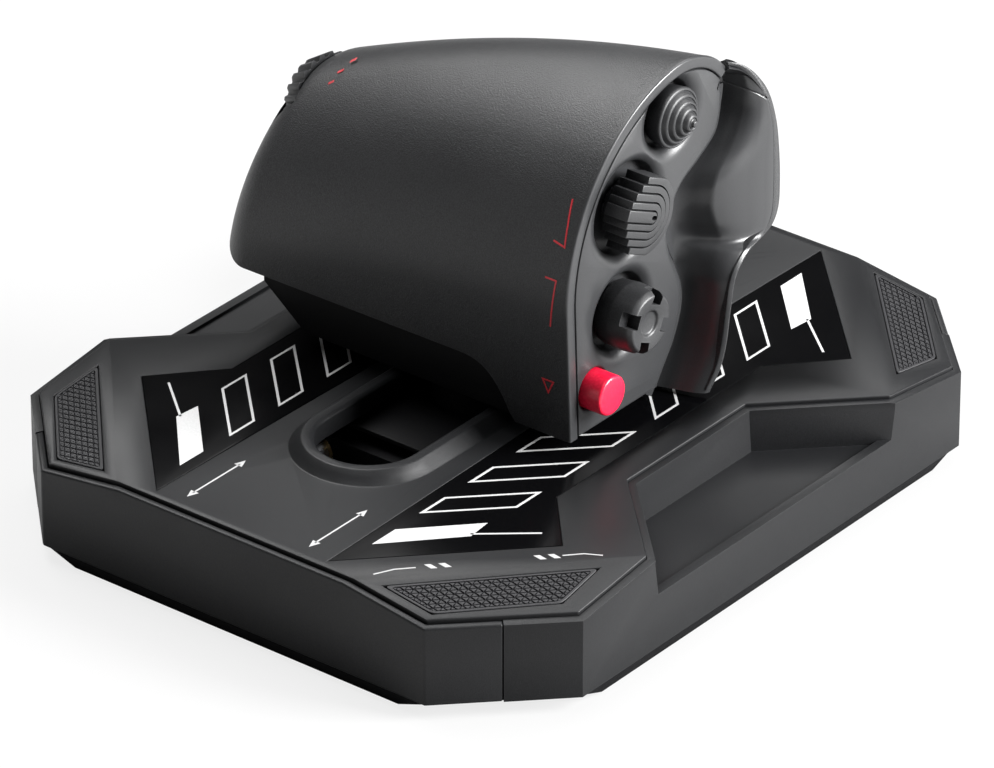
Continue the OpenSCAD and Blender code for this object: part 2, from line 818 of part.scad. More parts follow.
module cup_inside(at, r) {
    thumb_x(at, face_x - cup_floor) cylinder(h = cup_floor + 1, r = r);
    thumb_x(at, face_x - cup_floor - cup_base - 1) cylinder(h = cup_base + 2, r = ring_r + 0.8);
    at_pivot(at) translate([0, -8, 0]) rotate([-90, 0, 0]) cylinder(h = 16, r = pin_bore);
}

module thumb_panel() {
    color(charcoal) difference() {
        union() {
            translate([face_x - panel_t, 0, 0]) rotate([90, 0, 90]) linear_extrude(panel_t) polygon(panel_edge);
            intersection() {
                union() {
                    cup_outside(upper_at, upper_cup);
                    cup_outside(middle_at, middle_cup);
                    cup_outside(lower_at, lower_cup);
                }
                translate([30, 0, 0]) rotate([90, 0, 90]) linear_extrude(30) polygon(panel_edge);
            }
            for (p = board_posts) thumb_x(p, board_x + board_t) cylinder(h = face_x - 1 - board_x - board_t, r = 2.5);
        }
        cup_inside(upper_at, upper_cup);
        cup_inside(middle_at, middle_cup);
        cup_inside(lower_at, lower_cup);
        thumb_x(red_at, face_x - 10) cylinder(h = 20, r = red_button_r + 0.1);
    }
}

// plate that closes the outer end, in the plane of the last section
cap_t = 2;
cap_edge = concat([for (p = palm_profile(end_x, 0.3)) p],
    [for (i = [len(rows) - 1:-1:0]) let (p = front_point(rows[i], end_x)) [p[1] - 2.6, p[2] + 0.5]]);

module end_cap() {
    stretch = 1 / cos(end_lean);
    color(charcoal) difference() {
        translate([end_x, 0, lean_z]) rotate([0, end_lean, 0]) rotate([90, 0, 90]) linear_extrude(cap_t)
            polygon([for (p = cap_edge) [p[0], (p[1] - lean_z) * stretch]]);
        dial_clearance();
    }
}

tub_rear = -25;
tub_front = 18;
tub_top = 57;
tub_right = 26;
tub_lip = 40.5;
tub_screws = [[-40, -18], [20, -18], [-40, 13], [20, 13]];

module under_shell() {
    outer = [[-51, grip_z], [tub_lip, grip_z], [tub_lip, 44], [tub_right, 44], [tub_right, tub_top], [-66, tub_top],
        [-66, 51]];
    inner = [[-50, grip_z + 2.2], [tub_right - 2.2, grip_z + 2.2], [tub_right - 2.2, tub_top + 3],
        [-63.8, tub_top + 3], [-63.8, 52]];
    color(graphite) difference() {
        union() {
            difference() {
                translate([0, tub_front, 0]) rotate([90, 0, 0]) linear_extrude(tub_front - tub_rear) polygon(outer);
                translate([0, tub_front - 2.2, 0]) rotate([90, 0, 0])
                    linear_extrude(tub_front - tub_rear - 4.4) polygon(inner);
            }
            for (p = tub_screws) translate([p[0], p[1], grip_z]) cylinder(h = 13, r = 3.5);
        }
        on_stem() slab(0, 60) circle(11.05);
        for (p = tub_screws) translate([p[0], p[1], grip_z - 1]) cylinder(h = 12, r = screw_r + 0.05);
    }
}

module grip_screws() {
    color(steel) for (p = tub_screws) translate([p[0], p[1], 0]) difference() {
        union() {
            translate([0, 0, grip_z - 0.8]) cylinder(h = 0.8, r = 2.8);
            translate([0, 0, grip_z - 0.4]) cylinder(h = 11, r = screw_r);
        }
        translate([0, 0, grip_z - 1]) cylinder(h = 0.7, r = 1.2, $fn = 6);
    }
}

pin_arm_z = [57.6, 69.4];
pin_arm_t = 3;
stick_plate_t = 3;

module grip_frame() {
    color(graphite) difference() {
        union() {
            on_stem() slab(52, 55) circle(12.5);
            translate([-12, 1, 53]) cube([24, 3, 8]);
            translate([-46, 1, tub_top + 1]) cube([66, 3, 38]);
            for (z = pin_arm_z) {
                translate([rocker_x - 4, 1, z]) cube([8, rocker_y - 1, pin_arm_t]);
                translate([rocker_x, rocker_y, z]) cylinder(h = pin_arm_t, r = 4);
            }
            translate([stick_at[0] - 9, stick_at[1] - stick_plate_t / 2, stick_at[2] - 9]) cube([18, stick_plate_t, 18]);
            translate([16, 1, 86]) cube([3, stick_at[1] - 1 + stick_plate_t / 2, 8]);
            translate([16, stick_at[1] - stick_plate_t / 2, 86]) cube([9, stick_plate_t, 8]);
            translate([19, 1, 60]) cube([board_x - 19, 3, 8]);
        }
        translate([rocker_x, rocker_y, 50]) cylinder(h = 30, r = 2.02);
        on_front(stick_at[0], stick_at[1] - 4, stick_at[2]) cylinder(h = 8, r = ring_r + 0.8);
        translate([stick_at[0] - 8, stick_at[1], stick_at[2]]) rotate([0, 90, 0]) cylinder(h = 16, r = pin_bore);
    }
}

module button_board() {
    edge = [[-20, 46], [16, 46], [16, 90], [24, 110], [24, 131], [8, 131], [-12, 110], [-20, 90]];
    color(board_green) translate([board_x, 0, 0]) rotate([90, 0, 90]) linear_extrude(board_t) polygon(edge);
}

module hat_switches() {
    color(steel) {
        for (at = [upper_at, middle_at, lower_at])
            translate([board_x + board_t, at[0] - 5, at[1] - 5]) cube([4.4, 10, 10]);
        translate([board_x + board_t, red_at[0] - 2.4, red_at[1] - 3]) cube([6.4, 6, 6]);
    }
}

module rocker_pin() {
    color(steel) translate([rocker_x, rocker_y, pin_arm_z[0]]) cylinder(h = pin_arm_z[1] - pin_arm_z[0] + pin_arm_t, r = 2);
}

// ---------- moving controls ----------

// ring that lets a hat tip both ways: outer pins along y, bores for the hat's own pins along z
module gimbal_ring() {
    difference() {
        union() {
            translate([-ring_t / 2, 0, 0]) rotate([0, 90, 0]) cylinder(h = ring_t, r = ring_r);
            translate([0, -7.2, 0]) rotate([-90, 0, 0]) cylinder(h = 14.4, r = pin_r);
        }
        translate([-4, 0, 0]) rotate([0, 90, 0]) cylinder(h = 8, r = ring_hole);
        translate([0, 0, -8]) cylinder(h = 16, r = pin_bore);
    }
}

module upper_hat_gimbal() {
    color(steel) at_pivot(upper_at) gimbal_ring();
}

module middle_hat_gimbal() {
    color(steel) at_pivot(middle_at) gimbal_ring();
}

module lower_hat_gimbal() {
    color(steel) at_pivot(lower_at) gimbal_ring();
}

// stalk and cross pin of a hat, with the pivot at the origin and x outwards
stalk_back = 4;
module stalk(reach) {
    translate([-stalk_back, 0, 0]) rotate([0, 90, 0]) cylinder(h = stalk_back + reach, r = stalk_r);
    translate([0, 0, -ring_r + 0.2]) cylinder(h = 2 * ring_r - 0.4, r = pin_r);
}

hat_base = face_x - cup_floor + 1.9 - pivot_x;
function above_face(h) = face_x + h - pivot_x;

module x_disc(x0, x1, r0, r1) {
    translate([x0, 0, 0]) rotate([0, 90, 0]) cylinder(h = x1 - x0, r1 = r0, r2 = r1);
}

module upper_hat() {
    tall = above_face(9.3);
    rings = 5;
    step = (tall - above_face(2)) / rings;
    color(rubber_grey) at_pivot(upper_at) {
        stalk(hat_base + 1);
        x_disc(hat_base, above_face(2), upper_hat_r, upper_hat_r);
        for (i = [0:rings - 1]) let (r = upper_hat_r - 0.5 - i * 1.7)
            x_disc(above_face(2) + i * step, above_face(2) + (i + 1) * step, r, r - 0.4);
    }
}

module middle_hat() {
    tall = above_face(8);
    bar = 2.9;
    color(rubber_grey) at_pivot(middle_at) {
        stalk(hat_base + 1);
        x_disc(hat_base, above_face(1.5), 8.5, 8.5);
        difference() {
            x_disc(above_face(1), tall, middle_hat_r, middle_hat_r - 0.6);
            for (s = [-1, 1]) for (i = [1:3]) translate([0, -20, s * (i * bar + 0.6) - 0.4])
                translate([tall - 1.6, 0, 0]) cube([3, 30 - 3 * i, 0.8]);
            for (s = [-1, 1], t = [-1, 1]) translate([0, s * (middle_hat_r - 1.2), t * (middle_hat_r - 1.2)])
                translate([above_face(0), -3, -3]) cube([30, 6, 6]);
        }
    }
}

module lower_hat() {
    tall = above_face(10);
    color(rubber_grey) at_pivot(lower_at) {
        stalk(hat_base + 1);
        difference() {
            x_disc(hat_base, tall, lower_hat_r, lower_hat_r - 0.8);
            for (a = [0, 90, 180, 270]) rotate([a, 0, 0]) translate([tall - 4, -2.1, lower_hat_r - 4.4]) cube([8, 4.2, 8]);
            x_disc(tall - 0.8, tall + 1, 2.4, 3);
        }
    }
}

module red_button() {
    color(red) {
        thumb_x(red_at, face_x - 8.2) cylinder(h = 15.2, r = red_button_r);
        thumb_x(red_at, face_x - panel_t - 1.7) cylinder(h = 1.5, r = red_button_r + 1);
    }
}

module dial_knob() {
    rib_w = 1.9;
    rib_h = 1.3;
    color(rubber_grey) at_dial() difference() {
        union() {
            cylinder(h = dial_t, r1 = dial_r - rib_h, r2 = dial_r - dial_taper - rib_h);
            intersection() {
                cylinder(h = dial_t - 0.8, r1 = dial_r, r2 = dial_r - dial_taper);
                for (i = [0:dial_ribs - 1]) rotate([0, 0, i * 360 / dial_ribs])
                    translate([dial_r - 6, -rib_w / 2, 0]) cube([10, rib_w, dial_t]);
            }
        }
        translate([0, 0, -1]) cylinder(h = 6, r = 3.05);
        translate([0, 0, dial_t - 1.2]) cylinder(h = 2, r = 9);
    }
}

module dial_sensor() {
    color(graphite) at_dial() {
        translate([0, 0, -2.6]) cylinder(h = 2, r = 8);
        translate([0, 0, -10]) cylinder(h = 8, r = 6);
        translate([0, 0, -3]) cylinder(h = 7, r = 3);
    }
}

module rudder_rocker() {
    hub_z0 = pin_arm_z[0] + pin_arm_t + 0.3;
    hub_h = pin_arm_z[1] - hub_z0 - 0.3;
    color(rubber_grey) difference() {
        union() {
            translate([rocker_x, rocker_y, hub_z0]) cylinder(h = hub_h, r = 4.5);
            translate([rocker_x - 4, rocker_y, hub_z0]) cube([8, 11, hub_h]);
            translate([rocker_x - rocker_half, rocker_y + 9, rocker_z0])
                cube([2 * rocker_half, 4.5, rocker_z1 - rocker_z0]);
            for (s = [-1, 1]) translate([rocker_x + s * (rocker_half - 8), rocker_y + 11, rocker_z0])
                cylinder(h = rocker_z1 - rocker_z0, r = 7);
        }
        translate([rocker_x, rocker_y, 50]) cylinder(h = 30, r = 2.05);
        translate([rocker_x - 60, rocker_y - 10, rocker_z0 - 1]) cube([55, 15, 14]);
        translate([rocker_x + 5, rocker_y - 10, rocker_z0 - 1]) cube([55, 15, 14]);
    }
}

module at_stick() {
    translate(stick_at) rotate([0, 0, 90]) children();
}

module stick_gimbal() {
    color(steel) at_stick() gimbal_ring();
}

module mini_stick() {
    reach = 16;
    color(rubber_grey) at_stick() {
        stalk(reach);
        difference() {
            x_disc(reach, reach + 3.4, stick_cap_r - 0.8, stick_cap_r);
            x_disc(reach + 2.6, reach + 4, 3, 6);
        }
    }
}

module push_button(at, y0, y1) {
    on_front(at[0], y0, at[1]) {
        cylinder(h = y1 - y0, r = finger_button_r);
        cylinder(h = 1.4, r = finger_button_r + 1.2);
    }
}

module index_button() {
    color(rubber_grey) push_button(index_at, 43, 56);
}

module finger_button() {
    color(rubber_grey) push_button(finger_at, 39, 52);
}

bottom_plate();
rear_wall();
front_wall();
left_side_wall();
right_side_wall();
deck_cover();
left_deck_inlay();
right_deck_inlay();
corner_pads();
rubber_feet();
ballast_plate();
guide_rods();
rear_rod_block();
front_rod_block();
end_bumpers();
brake_bracket();
slide_sensor_board();
main_board();
usb_socket();
pedal_socket();
base_screws();
mount_inserts();
tension_screw();
brake_shoe();
carriage();
carriage_bushes();
brake_rail();
sensor_magnet();
dust_cover();
grip_stem();
stem_screws();
under_shell();
palm_shell();
front_shell();
wing_panel();
thumb_panel();
end_cap();
grip_frame();
button_board();
hat_switches();
dial_sensor();
rocker_pin();
grip_screws();
red_button();
upper_hat_gimbal();
upper_hat();
middle_hat_gimbal();
middle_hat();
lower_hat_gimbal();
lower_hat();
dial_knob();
rudder_rocker();
stick_gimbal();
mini_stick();
index_button();
finger_button();
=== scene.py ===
"""Looks of the left-hand flight throttle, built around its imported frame.

Shapes are worked out in millimetres in the row frame and turned into metres when a mesh is made.
"""

import json
import math

import bmesh
import bpy
from mathutils import Matrix, Vector


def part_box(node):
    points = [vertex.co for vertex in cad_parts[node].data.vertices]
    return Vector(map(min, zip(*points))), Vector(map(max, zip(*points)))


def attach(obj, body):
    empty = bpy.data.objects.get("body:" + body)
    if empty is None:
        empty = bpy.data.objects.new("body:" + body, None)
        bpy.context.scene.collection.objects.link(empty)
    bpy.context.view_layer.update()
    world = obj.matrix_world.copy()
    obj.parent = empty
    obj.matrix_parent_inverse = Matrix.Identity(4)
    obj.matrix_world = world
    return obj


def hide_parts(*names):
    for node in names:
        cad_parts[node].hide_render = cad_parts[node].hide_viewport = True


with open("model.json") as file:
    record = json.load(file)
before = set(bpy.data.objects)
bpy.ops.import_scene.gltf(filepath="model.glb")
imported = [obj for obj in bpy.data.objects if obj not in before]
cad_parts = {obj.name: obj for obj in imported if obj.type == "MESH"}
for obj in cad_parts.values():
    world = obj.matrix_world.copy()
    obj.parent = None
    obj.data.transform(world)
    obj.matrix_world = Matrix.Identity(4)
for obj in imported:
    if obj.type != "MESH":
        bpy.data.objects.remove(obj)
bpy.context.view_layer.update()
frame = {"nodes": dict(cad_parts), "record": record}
nodes = frame["nodes"]
MM = 0.001


# ---------- small helpers ----------


def low(node):
    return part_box(node)[0] / MM


def high(node):
    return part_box(node)[1] / MM


def mid(node):
    return (low(node) + high(node)) / 2


def blend(a, b, k):
    return a + (b - a) * k


def spaced(a, b, count):
    """count evenly spaced values from a to b, both included"""
    return [blend(a, b, i / (count - 1)) for i in range(count)]


def curve_at(points, t):
    """point of the smooth curve through points, t running from 0 to their number minus one"""
    last = len(points) - 1
    i = min(int(t), last - 1)
    k = t - i
    p0, p1, p2, p3 = (points[min(last, max(0, i + n))] for n in (-1, 0, 1, 2))
    return tuple(
        0.5
        * (2 * b + (c - a) * k + (2 * a - 5 * b + 4 * c - d) * k * k + (3 * b - a - 3 * c + d) * k**3)
        for a, b, c, d in zip(p0, p1, p2, p3)
    )


def arc(cx, cy, r, a0, a1, count):
    """points of an arc, angles in degrees"""
    turns = [math.radians(a) for a in spaced(a0, a1, count)]
    return [(cx + r * math.cos(a), cy + r * math.sin(a)) for a in turns]


def inset_outline(outline, t):
    """a closed anticlockwise outline moved in by t along the bisectors of its corners"""
    count = len(outline)
    moved = []
    for i, (x, y) in enumerate(outline):
        ax, ay = outline[i - 1]
        bx, by = outline[(i + 1) % count]
        d0 = Vector((x - ax, y - ay)).normalized()
        d1 = Vector((bx - x, by - y)).normalized()
        n0 = Vector((-d0.y, d0.x))
        n1 = Vector((-d1.y, d1.x))
        bisector = n0 + n1
        bisector *= t / max(0.3, 0.5 * bisector.length_squared)
        moved.append((x + bisector.x, y + bisector.y))
    return moved


# ---------- materials ----------


def material(name, color, rough=0.5, metal=0.0, build=None, specular=0.5):
    """a principled material; build(tree, shader, coords) adds its surface detail"""
    mat = bpy.data.materials.new(name)
    mat.use_nodes = True
    tree = mat.node_tree
    shader = tree.nodes["Principled BSDF"]
    shader.inputs["Base Color"].default_value = (*color, 1)
    shader.inputs["Roughness"].default_value = rough
    shader.inputs["Metallic"].default_value = metal
    shader.inputs["Specular IOR Level"].default_value = specular
    mat.diffuse_color = (*color, 1)
    coords = tree.nodes.new("ShaderNodeTexCoord").outputs["Object"]
    if build:
        build(tree, shader, coords)
    return mat


def noise(tree, coords, scale, detail=3.0, stretch=(1, 1, 1)):
    mapping = tree.nodes.new("ShaderNodeMapping")
    mapping.inputs["Scale"].default_value = stretch
    tree.links.new(coords, mapping.inputs["Vector"])
    node = tree.nodes.new("ShaderNodeTexNoise")
    node.inputs["Scale"].default_value = scale
    node.inputs["Detail"].default_value = detail
    tree.links.new(mapping.outputs["Vector"], node.inputs["Vector"])
    return node.outputs["Fac"]


def remap(tree, value, low_out, high_out, low_in=0.3, high_in=0.7):
    node = tree.nodes.new("ShaderNodeMapRange")
    node.inputs["From Min"].default_value = low_in
    node.inputs["From Max"].default_value = high_in
    node.inputs["To Min"].default_value = low_out
    node.inputs["To Max"].default_value = high_out
    tree.links.new(value, node.inputs["Value"])
    return node.outputs["Result"]


def edge_mask(tree, radius):
    """0 on flat surfaces, rising to 1 on edges tighter than the radius"""
    bevel = tree.nodes.new("ShaderNodeBevel")
    bevel.samples = 4
    bevel.inputs["Radius"].default_value = radius
    geometry = tree.nodes.new("ShaderNodeNewGeometry")
    dot = tree.nodes.new("ShaderNodeVectorMath")
    dot.operation = "DOT_PRODUCT"
    tree.links.new(bevel.outputs["Normal"], dot.inputs[0])
    tree.links.new(geometry.outputs["Normal"], dot.inputs[1])
    return remap(tree, dot.outputs["Value"], 1, 0, 0.75, 0.99)


def tinted(tree, shader, factor, dark, light):
    mix = tree.nodes.new("ShaderNodeMix")
    mix.data_type = "RGBA"
    mix.inputs["A"].default_value = (*dark, 1)
    mix.inputs["B"].default_value = (*light, 1)
    tree.links.new(factor, mix.inputs["Factor"])
    tree.links.new(mix.outputs["Result"], shader.inputs["Base Color"])
    return mix.outputs["Result"]


def bumped(tree, shader, height, distance, strength=1.0):
    node = tree.nodes.new("ShaderNodeBump")
    node.inputs["Strength"].default_value = strength
    node.inputs["Distance"].default_value = distance
    tree.links.new(height, node.inputs["Height"])
    tree.links.new(node.outputs["Normal"], shader.inputs["Normal"])


def painted_hollow_shade(tree, shader, reach):
    """painted shade: reflection turned down deep inside trays, channels and cups, by ambient occlusion"""
    node = tree.nodes.new("ShaderNodeAmbientOcclusion")
    node.samples = 8
    node.inputs["Distance"].default_value = reach
    level = shader.inputs["Specular IOR Level"]
    most = level.default_value
    tree.links.new(remap(tree, node.outputs["AO"], 0.1 * most, most, 0.25, 0.85), level)


def moulded(grain, depth, rough, dark, light, edge_highlight=0.35):
    """moulded plastic: fine spark grain, cloudy sheen, a painted highlight on sharp edges and painted shade
    in hollows
    """

    def build(tree, shader, coords):
        speck = noise(tree, coords, grain, 2.0)
        cloud = noise(tree, coords, 25, 4.0)
        colour = tinted(tree, shader, remap(tree, speck, 0, 1, 0.35, 0.68), dark, light)
        # painted highlight: a lighter colour mixed in along sharp edges
        painted_edge_light = tree.nodes.new("ShaderNodeMix")
        painted_edge_light.data_type = "RGBA"
        painted_edge_light.inputs["B"].default_value = (*[c * 1.6 + 0.01 for c in light], 1)
        amount = tree.nodes.new("ShaderNodeMath")
        amount.operation = "MULTIPLY"
        amount.inputs[1].default_value = edge_highlight
        tree.links.new(edge_mask(tree, 0.0006), amount.inputs[0])
        tree.links.new(amount.outputs["Value"], painted_edge_light.inputs["Factor"])
        tree.links.new(colour, painted_edge_light.inputs["A"])
        tree.links.new(painted_edge_light.outputs["Result"], shader.inputs["Base Color"])
        tree.links.new(remap(tree, cloud, rough - 0.05, rough + 0.05), shader.inputs["Roughness"])
        bumped(tree, shader, speck, depth)
        # painted shade in hollows, from ambient occlusion
        painted_hollow_shade(tree, shader, 0.03)

    return build


def turned_metal(tree, shader, coords):
    lines = noise(tree, coords, 900, 2.0, (1, 0.05, 1))
    tree.links.new(remap(tree, lines, 0.22, 0.42), shader.inputs["Roughness"])
    bumped(tree, shader, lines, 0.00002)


def printed_board(tree, shader, coords):
    tracks = noise(tree, coords, 260, 0.0, (1, 0.2, 1))
    tinted(tree, shader, remap(tree, tracks, 0, 1, 0.49, 0.51), (0.012, 0.075, 0.04), (0.02, 0.13, 0.07))
    bumped(tree, shader, tracks, 0.00003)


GREY = (0.028, 0.029, 0.032)
shell_plastic = material(
    "shell_plastic", GREY,
    build=moulded(2600, 0.00013, 0.43,
                  (0.007, 0.0073, 0.008), (0.026, 0.0265, 0.028), 0.1),
)
deck_plastic = material(
    "deck_plastic", GREY,
    build=moulded(3200, 0.00003, 0.42,
                  (0.006, 0.0062, 0.0068), (0.0105, 0.0108, 0.0116)),
    specular=0.24,
)
thumb_plastic = material(
    "thumb_plastic", GREY,
    build=moulded(3600, 0.00001, 0.33,
                  (0.021, 0.0215, 0.0225), (0.027, 0.0275, 0.029), 0.2),
)
dark_plastic = material(
    "dark_plastic", GREY,
    build=moulded(2400, 0.00003, 0.55,
                  (0.003, 0.003, 0.0034), (0.006, 0.006, 0.0066), 0.2),
    specular=0.15,
)
gloss_panel = material(
    "gloss_panel", GREY,
    build=moulded(900, 0.0, 0.2,
                  (0.001, 0.001, 0.0012), (0.0014, 0.0014, 0.0016), 0.0),
    specular=0.08,
)
rubber_pad = material(
    "rubber_pad", GREY,
    build=moulded(2200, 0.00004, 0.55,
                  (0.008, 0.008, 0.009), (0.015, 0.015, 0.0165), 0.5),
    specular=0.3,
)
control_rubber = material(
    "control_rubber", GREY,
    build=moulded(2600, 0.00003, 0.46,
                  (0.013, 0.0133, 0.014), (0.023, 0.0235, 0.025), 0.6),
)
red_plastic = material(
    "red_plastic", (0.6, 0.01, 0.04),
    build=moulded(1500, 0.00001, 0.33,
                  (0.56, 0.006, 0.03), (0.66, 0.012, 0.045), 0.1),
)
steel = material("steel", (0.55, 0.56, 0.58), metal=1.0, build=turned_metal)
brass = material("brass", (0.62, 0.45, 0.2), metal=1.0, build=turned_metal)
board = material("board", (0.015, 0.1, 0.05), rough=0.3, build=printed_board)
white_print = material(
    "white_print", (0.4, 0.4, 0.4),
    build=moulded(1800, 0.00001, 0.45,
                  (0.36, 0.36, 0.36), (0.42, 0.42, 0.42), 0.0),
)
grey_print = material(
    "grey_print", (0.3, 0.3, 0.3),
    build=moulded(1800, 0.00001, 0.45,
                  (0.3, 0.3, 0.3), (0.36, 0.36, 0.36), 0.0),
)
red_print = material(
    "red_print", (0.5, 0.02, 0.03),
    build=moulded(1800, 0.00001, 0.45,
                  (0.42, 0.012, 0.02), (0.5, 0.02, 0.03), 0.0),
)
SLOT_MATERIALS = {
    "shell_plastic": shell_plastic,
    "deck_plastic": deck_plastic,
    "thumb_plastic": thumb_plastic,
    "dark_plastic": dark_plastic,
    "gloss_panel": gloss_panel,
    "rubber_pad": rubber_pad,
    "control_rubber": control_rubber,
    "red_plastic": red_plastic,
    "steel": steel,
    "brass": brass,
    "board": board,
}


# ---------- mesh helpers ----------


def finished(name, bm, mat, body, stands_for=(), sharp=38):
    """turns a bmesh in mm into a shaded object that rides on a body"""
    bmesh.ops.remove_doubles(bm, verts=bm.verts, dist=1e-4)
    bmesh.ops.dissolve_degenerate(bm, edges=bm.edges, dist=1e-5)
    bmesh.ops.recalc_face_normals(bm, faces=bm.faces)
    limit = math.radians(sharp)
    for edge in bm.edges:
        if len(edge.link_faces) == 2:
            edge.smooth = edge.calc_face_angle(0) < limit
    for face in bm.faces:
        face.smooth = True
    bmesh.ops.scale(bm, vec=(MM, MM, MM), verts=bm.verts)
    mesh = bpy.data.meshes.new(name)
    bm.to_mesh(mesh)
    bm.free()
    mesh.materials.append(mat)
    obj = bpy.data.objects.new(name, mesh)
    bpy.context.scene.collection.objects.link(obj)
    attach(obj, body)
    if stands_for:
        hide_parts(*stands_for)
    return obj


def rings_mesh(rings, closed=True, caps=True):
    """a bmesh through rings of equally many points; the rings' ends are capped"""
    bm = bmesh.new()
    made = [[bm.verts.new(p) for p in ring] for ring in rings]
    count = len(rings[0])
    span = count if closed else count - 1
    for a, b in zip(made, made[1:]):
        for j in range(span):
            k = (j + 1) % count
            bm.faces.new((a[j], a[k], b[k], b[j]))
    if caps:
        bm.faces.new(list(reversed(made[0])))
        bm.faces.new(made[-1])
    return bm


def lathe(profile, steps=64, axis="z"):
    """a turned solid from (radius, height) pairs; a radius of 0 makes a pole"""
    bm = bmesh.new()
    turns = [2 * math.pi * i / steps for i in range(steps)]
    rings = []
    for r, h in profile:
        spots = [(r * math.cos(a), r * math.sin(a), h) for a in turns] if r > 0 else [(0, 0, h)]
        rings.append([bm.verts.new(p) for p in spots])
    for a, b in zip(rings, rings[1:]):
        for j in range(steps):
            k = (j + 1) % steps
            corners = [a[j % len(a)], a[k % len(a)], b[k % len(b)], b[j % len(b)]]
            bm.faces.new(list(dict.fromkeys(corners)))
    if axis == "x":
        bmesh.ops.rotate(bm, verts=bm.verts, matrix=Matrix.Rotation(math.radians(90), 3, "Y"))
    return bm


def cylinder(r, low_end, high_end, steps=64, axis="z"):
    """a plain round cutter between two heights"""
    return lathe([(0, low_end), (r, low_end), (r, high_end), (0, high_end)], steps, axis)


def rounded_profile(corners, r, steps=4):
    """(radius, height) profile with each inner corner of the path rounded by r"""
    path = [corners[0]]
    for p, q, s in zip(corners, corners[1:], corners[2:]):
        p, q, s = Vector(p), Vector(q), Vector(s)
        t = min(r, (p - q).length * 0.45, (s - q).length * 0.45)
        a = q + (p - q).normalized() * t
        b = q + (s - q).normalized() * t
        for k in spaced(0, 1, steps):
            path.append(tuple(a * (1 - k) ** 2 + q * 2 * k * (1 - k) + b * k**2))
    return path + [corners[-1]]


def layered(layers):
    """a solid through (outline, height) layers"""
    return rings_mesh([[(x, y, z) for x, y in outline] for outline, z in layers])


def plate(outline, z0, z1, edge=0.3, steps=3):
    """an upright plate with a rounded top edge"""
    layers = [(outline, z0)]
    for k in spaced(0, 90, steps):
        a = math.radians(k)
        layers.append((inset_outline(outline, edge * (1 - math.cos(a))), z1 - edge * (1 - math.sin(a))))
    return layered(layers)


def joined(parts):
    """one bmesh out of several; the parts are freed"""
    whole = bmesh.new()
    for part in parts:
        spare = bpy.data.meshes.new("spare")
        part.to_mesh(spare)
        part.free()
        whole.from_mesh(spare)
        bpy.data.meshes.remove(spare)
    return whole


def boolean(bm, cutter, operation="DIFFERENCE"):
    """bm cut by (or joined with) cutter as exact solids"""
    made = []
    for part in (bm, cutter):
        bmesh.ops.recalc_face_normals(part, faces=part.faces)
        mesh = bpy.data.meshes.new("spare")
        part.to_mesh(mesh)
        part.free()
        obj = bpy.data.objects.new("spare", mesh)
        bpy.context.scene.collection.objects.link(obj)
        made.append(obj)
    tool = made[0].modifiers.new("cut", "BOOLEAN")
    tool.operation = operation
    tool.solver = "MANIFOLD"
    tool.object = made[1]
    result = bmesh.new()
    result.from_object(made[0], bpy.context.evaluated_depsgraph_get())
    for obj in made:
        mesh = obj.data
        bpy.data.objects.remove(obj)
        bpy.data.meshes.remove(mesh)
    return result


def moved(bm, offset):
    """bm, shifted by the offset"""
    bmesh.ops.translate(bm, vec=offset, verts=bm.verts)
    return bm


# ---------- CAD nodes that keep their shape ----------

for entry in frame["record"]["subparts"]:
    node = nodes[entry["node"]]
    node.data.materials.clear()
    node.data.materials.append(SLOT_MATERIALS[entry["material_slot"]])


def softened(node, width, segments=3, angle=28):
    """rounds the edges of a CAD node with modifiers"""
    obj = nodes[node]
    weld = obj.modifiers.new("weld", "WELD")
    weld.merge_threshold = 1e-6
    flat = obj.modifiers.new("flat", "DECIMATE")
    flat.decimate_type = "DISSOLVE"
    flat.angle_limit = math.radians(0.6)
    round_edges = obj.modifiers.new("round", "BEVEL")
    round_edges.width = width * MM
    round_edges.segments = segments
    round_edges.limit_method = "ANGLE"
    round_edges.angle_limit = math.radians(angle)
    round_edges.harden_normals = True
    obj.data.shade_smooth()


for name, width in {
    "deck_cover": 0.5,
    "rear_wall": 0.7,
    "front_wall": 0.7,
    "left_side_wall": 1.6,
    "right_side_wall": 1.6,
    "bottom_plate": 0.4,
    "left_deck_inlay": 0.15,
    "right_deck_inlay": 0.15,
    "under_shell": 1.2,
    "grip_stem": 0.4,
    "dust_cover": 0.3,
    "end_cap": 0.4,
    "carriage": 0.4,
}.items():
    softened(name, width)


# ---------- grip: the surfaces behind the shells ----------

# limits of the grip: plane of the thumb face, rear of the palm, top of the ridge, lower edge of the shells
face_x = high("thumb_panel").x
palm_y = low("palm_shell").y
ridge_z = high("palm_shell").z + 0.5
skirt_low = low("palm_shell").z
SHELL_T = 2.2
LIP_W = 3.6
SEAM = 0.25
# outer end: its place, the round of its edge, its lean in degrees and the height it leans about
END_X = -79.0
END_ROUND = 11.0
END_LEAN = 9.5
LEAN_Z = 70.0
# the palm's radius, and the outward slope of its upright rear part
PALM_R = 58.0
PALM_LEAN = 0.042
# fall and curvature of the ridge towards the outer end
RIDGE_FALL = 0.062
RIDGE_CURVE = 0.0009
# height of the lower edge away from the thumb face, and where it comes down to the face
SKIRT_HIGH = 55.6
SKIRT_FROM = 8.0
SKIRT_OVER = 20.0
# front corner arc, at the thumb face and at the outer end: radius, first and last angle
CORNER_R = (26, 24)
CORNER_FROM = (100, 131)
CORNER_TO = (38, 28)


def share(x):
    """0 at the thumb face, 1 at the outer end"""
    return (face_x - x) / (face_x - END_X)


def shrink(x):
    """how far the rounded end pulls the surface in at x"""
    d = max(0.0, x - END_X)
    return 0.0 if d >= END_ROUND else END_ROUND - math.sqrt(END_ROUND**2 - (END_ROUND - d) ** 2)


def ridge(x):
    """height of the ridge line at x"""
    d = face_x - x
    return ridge_z - RIDGE_FALL * d - RIDGE_CURVE * d * d


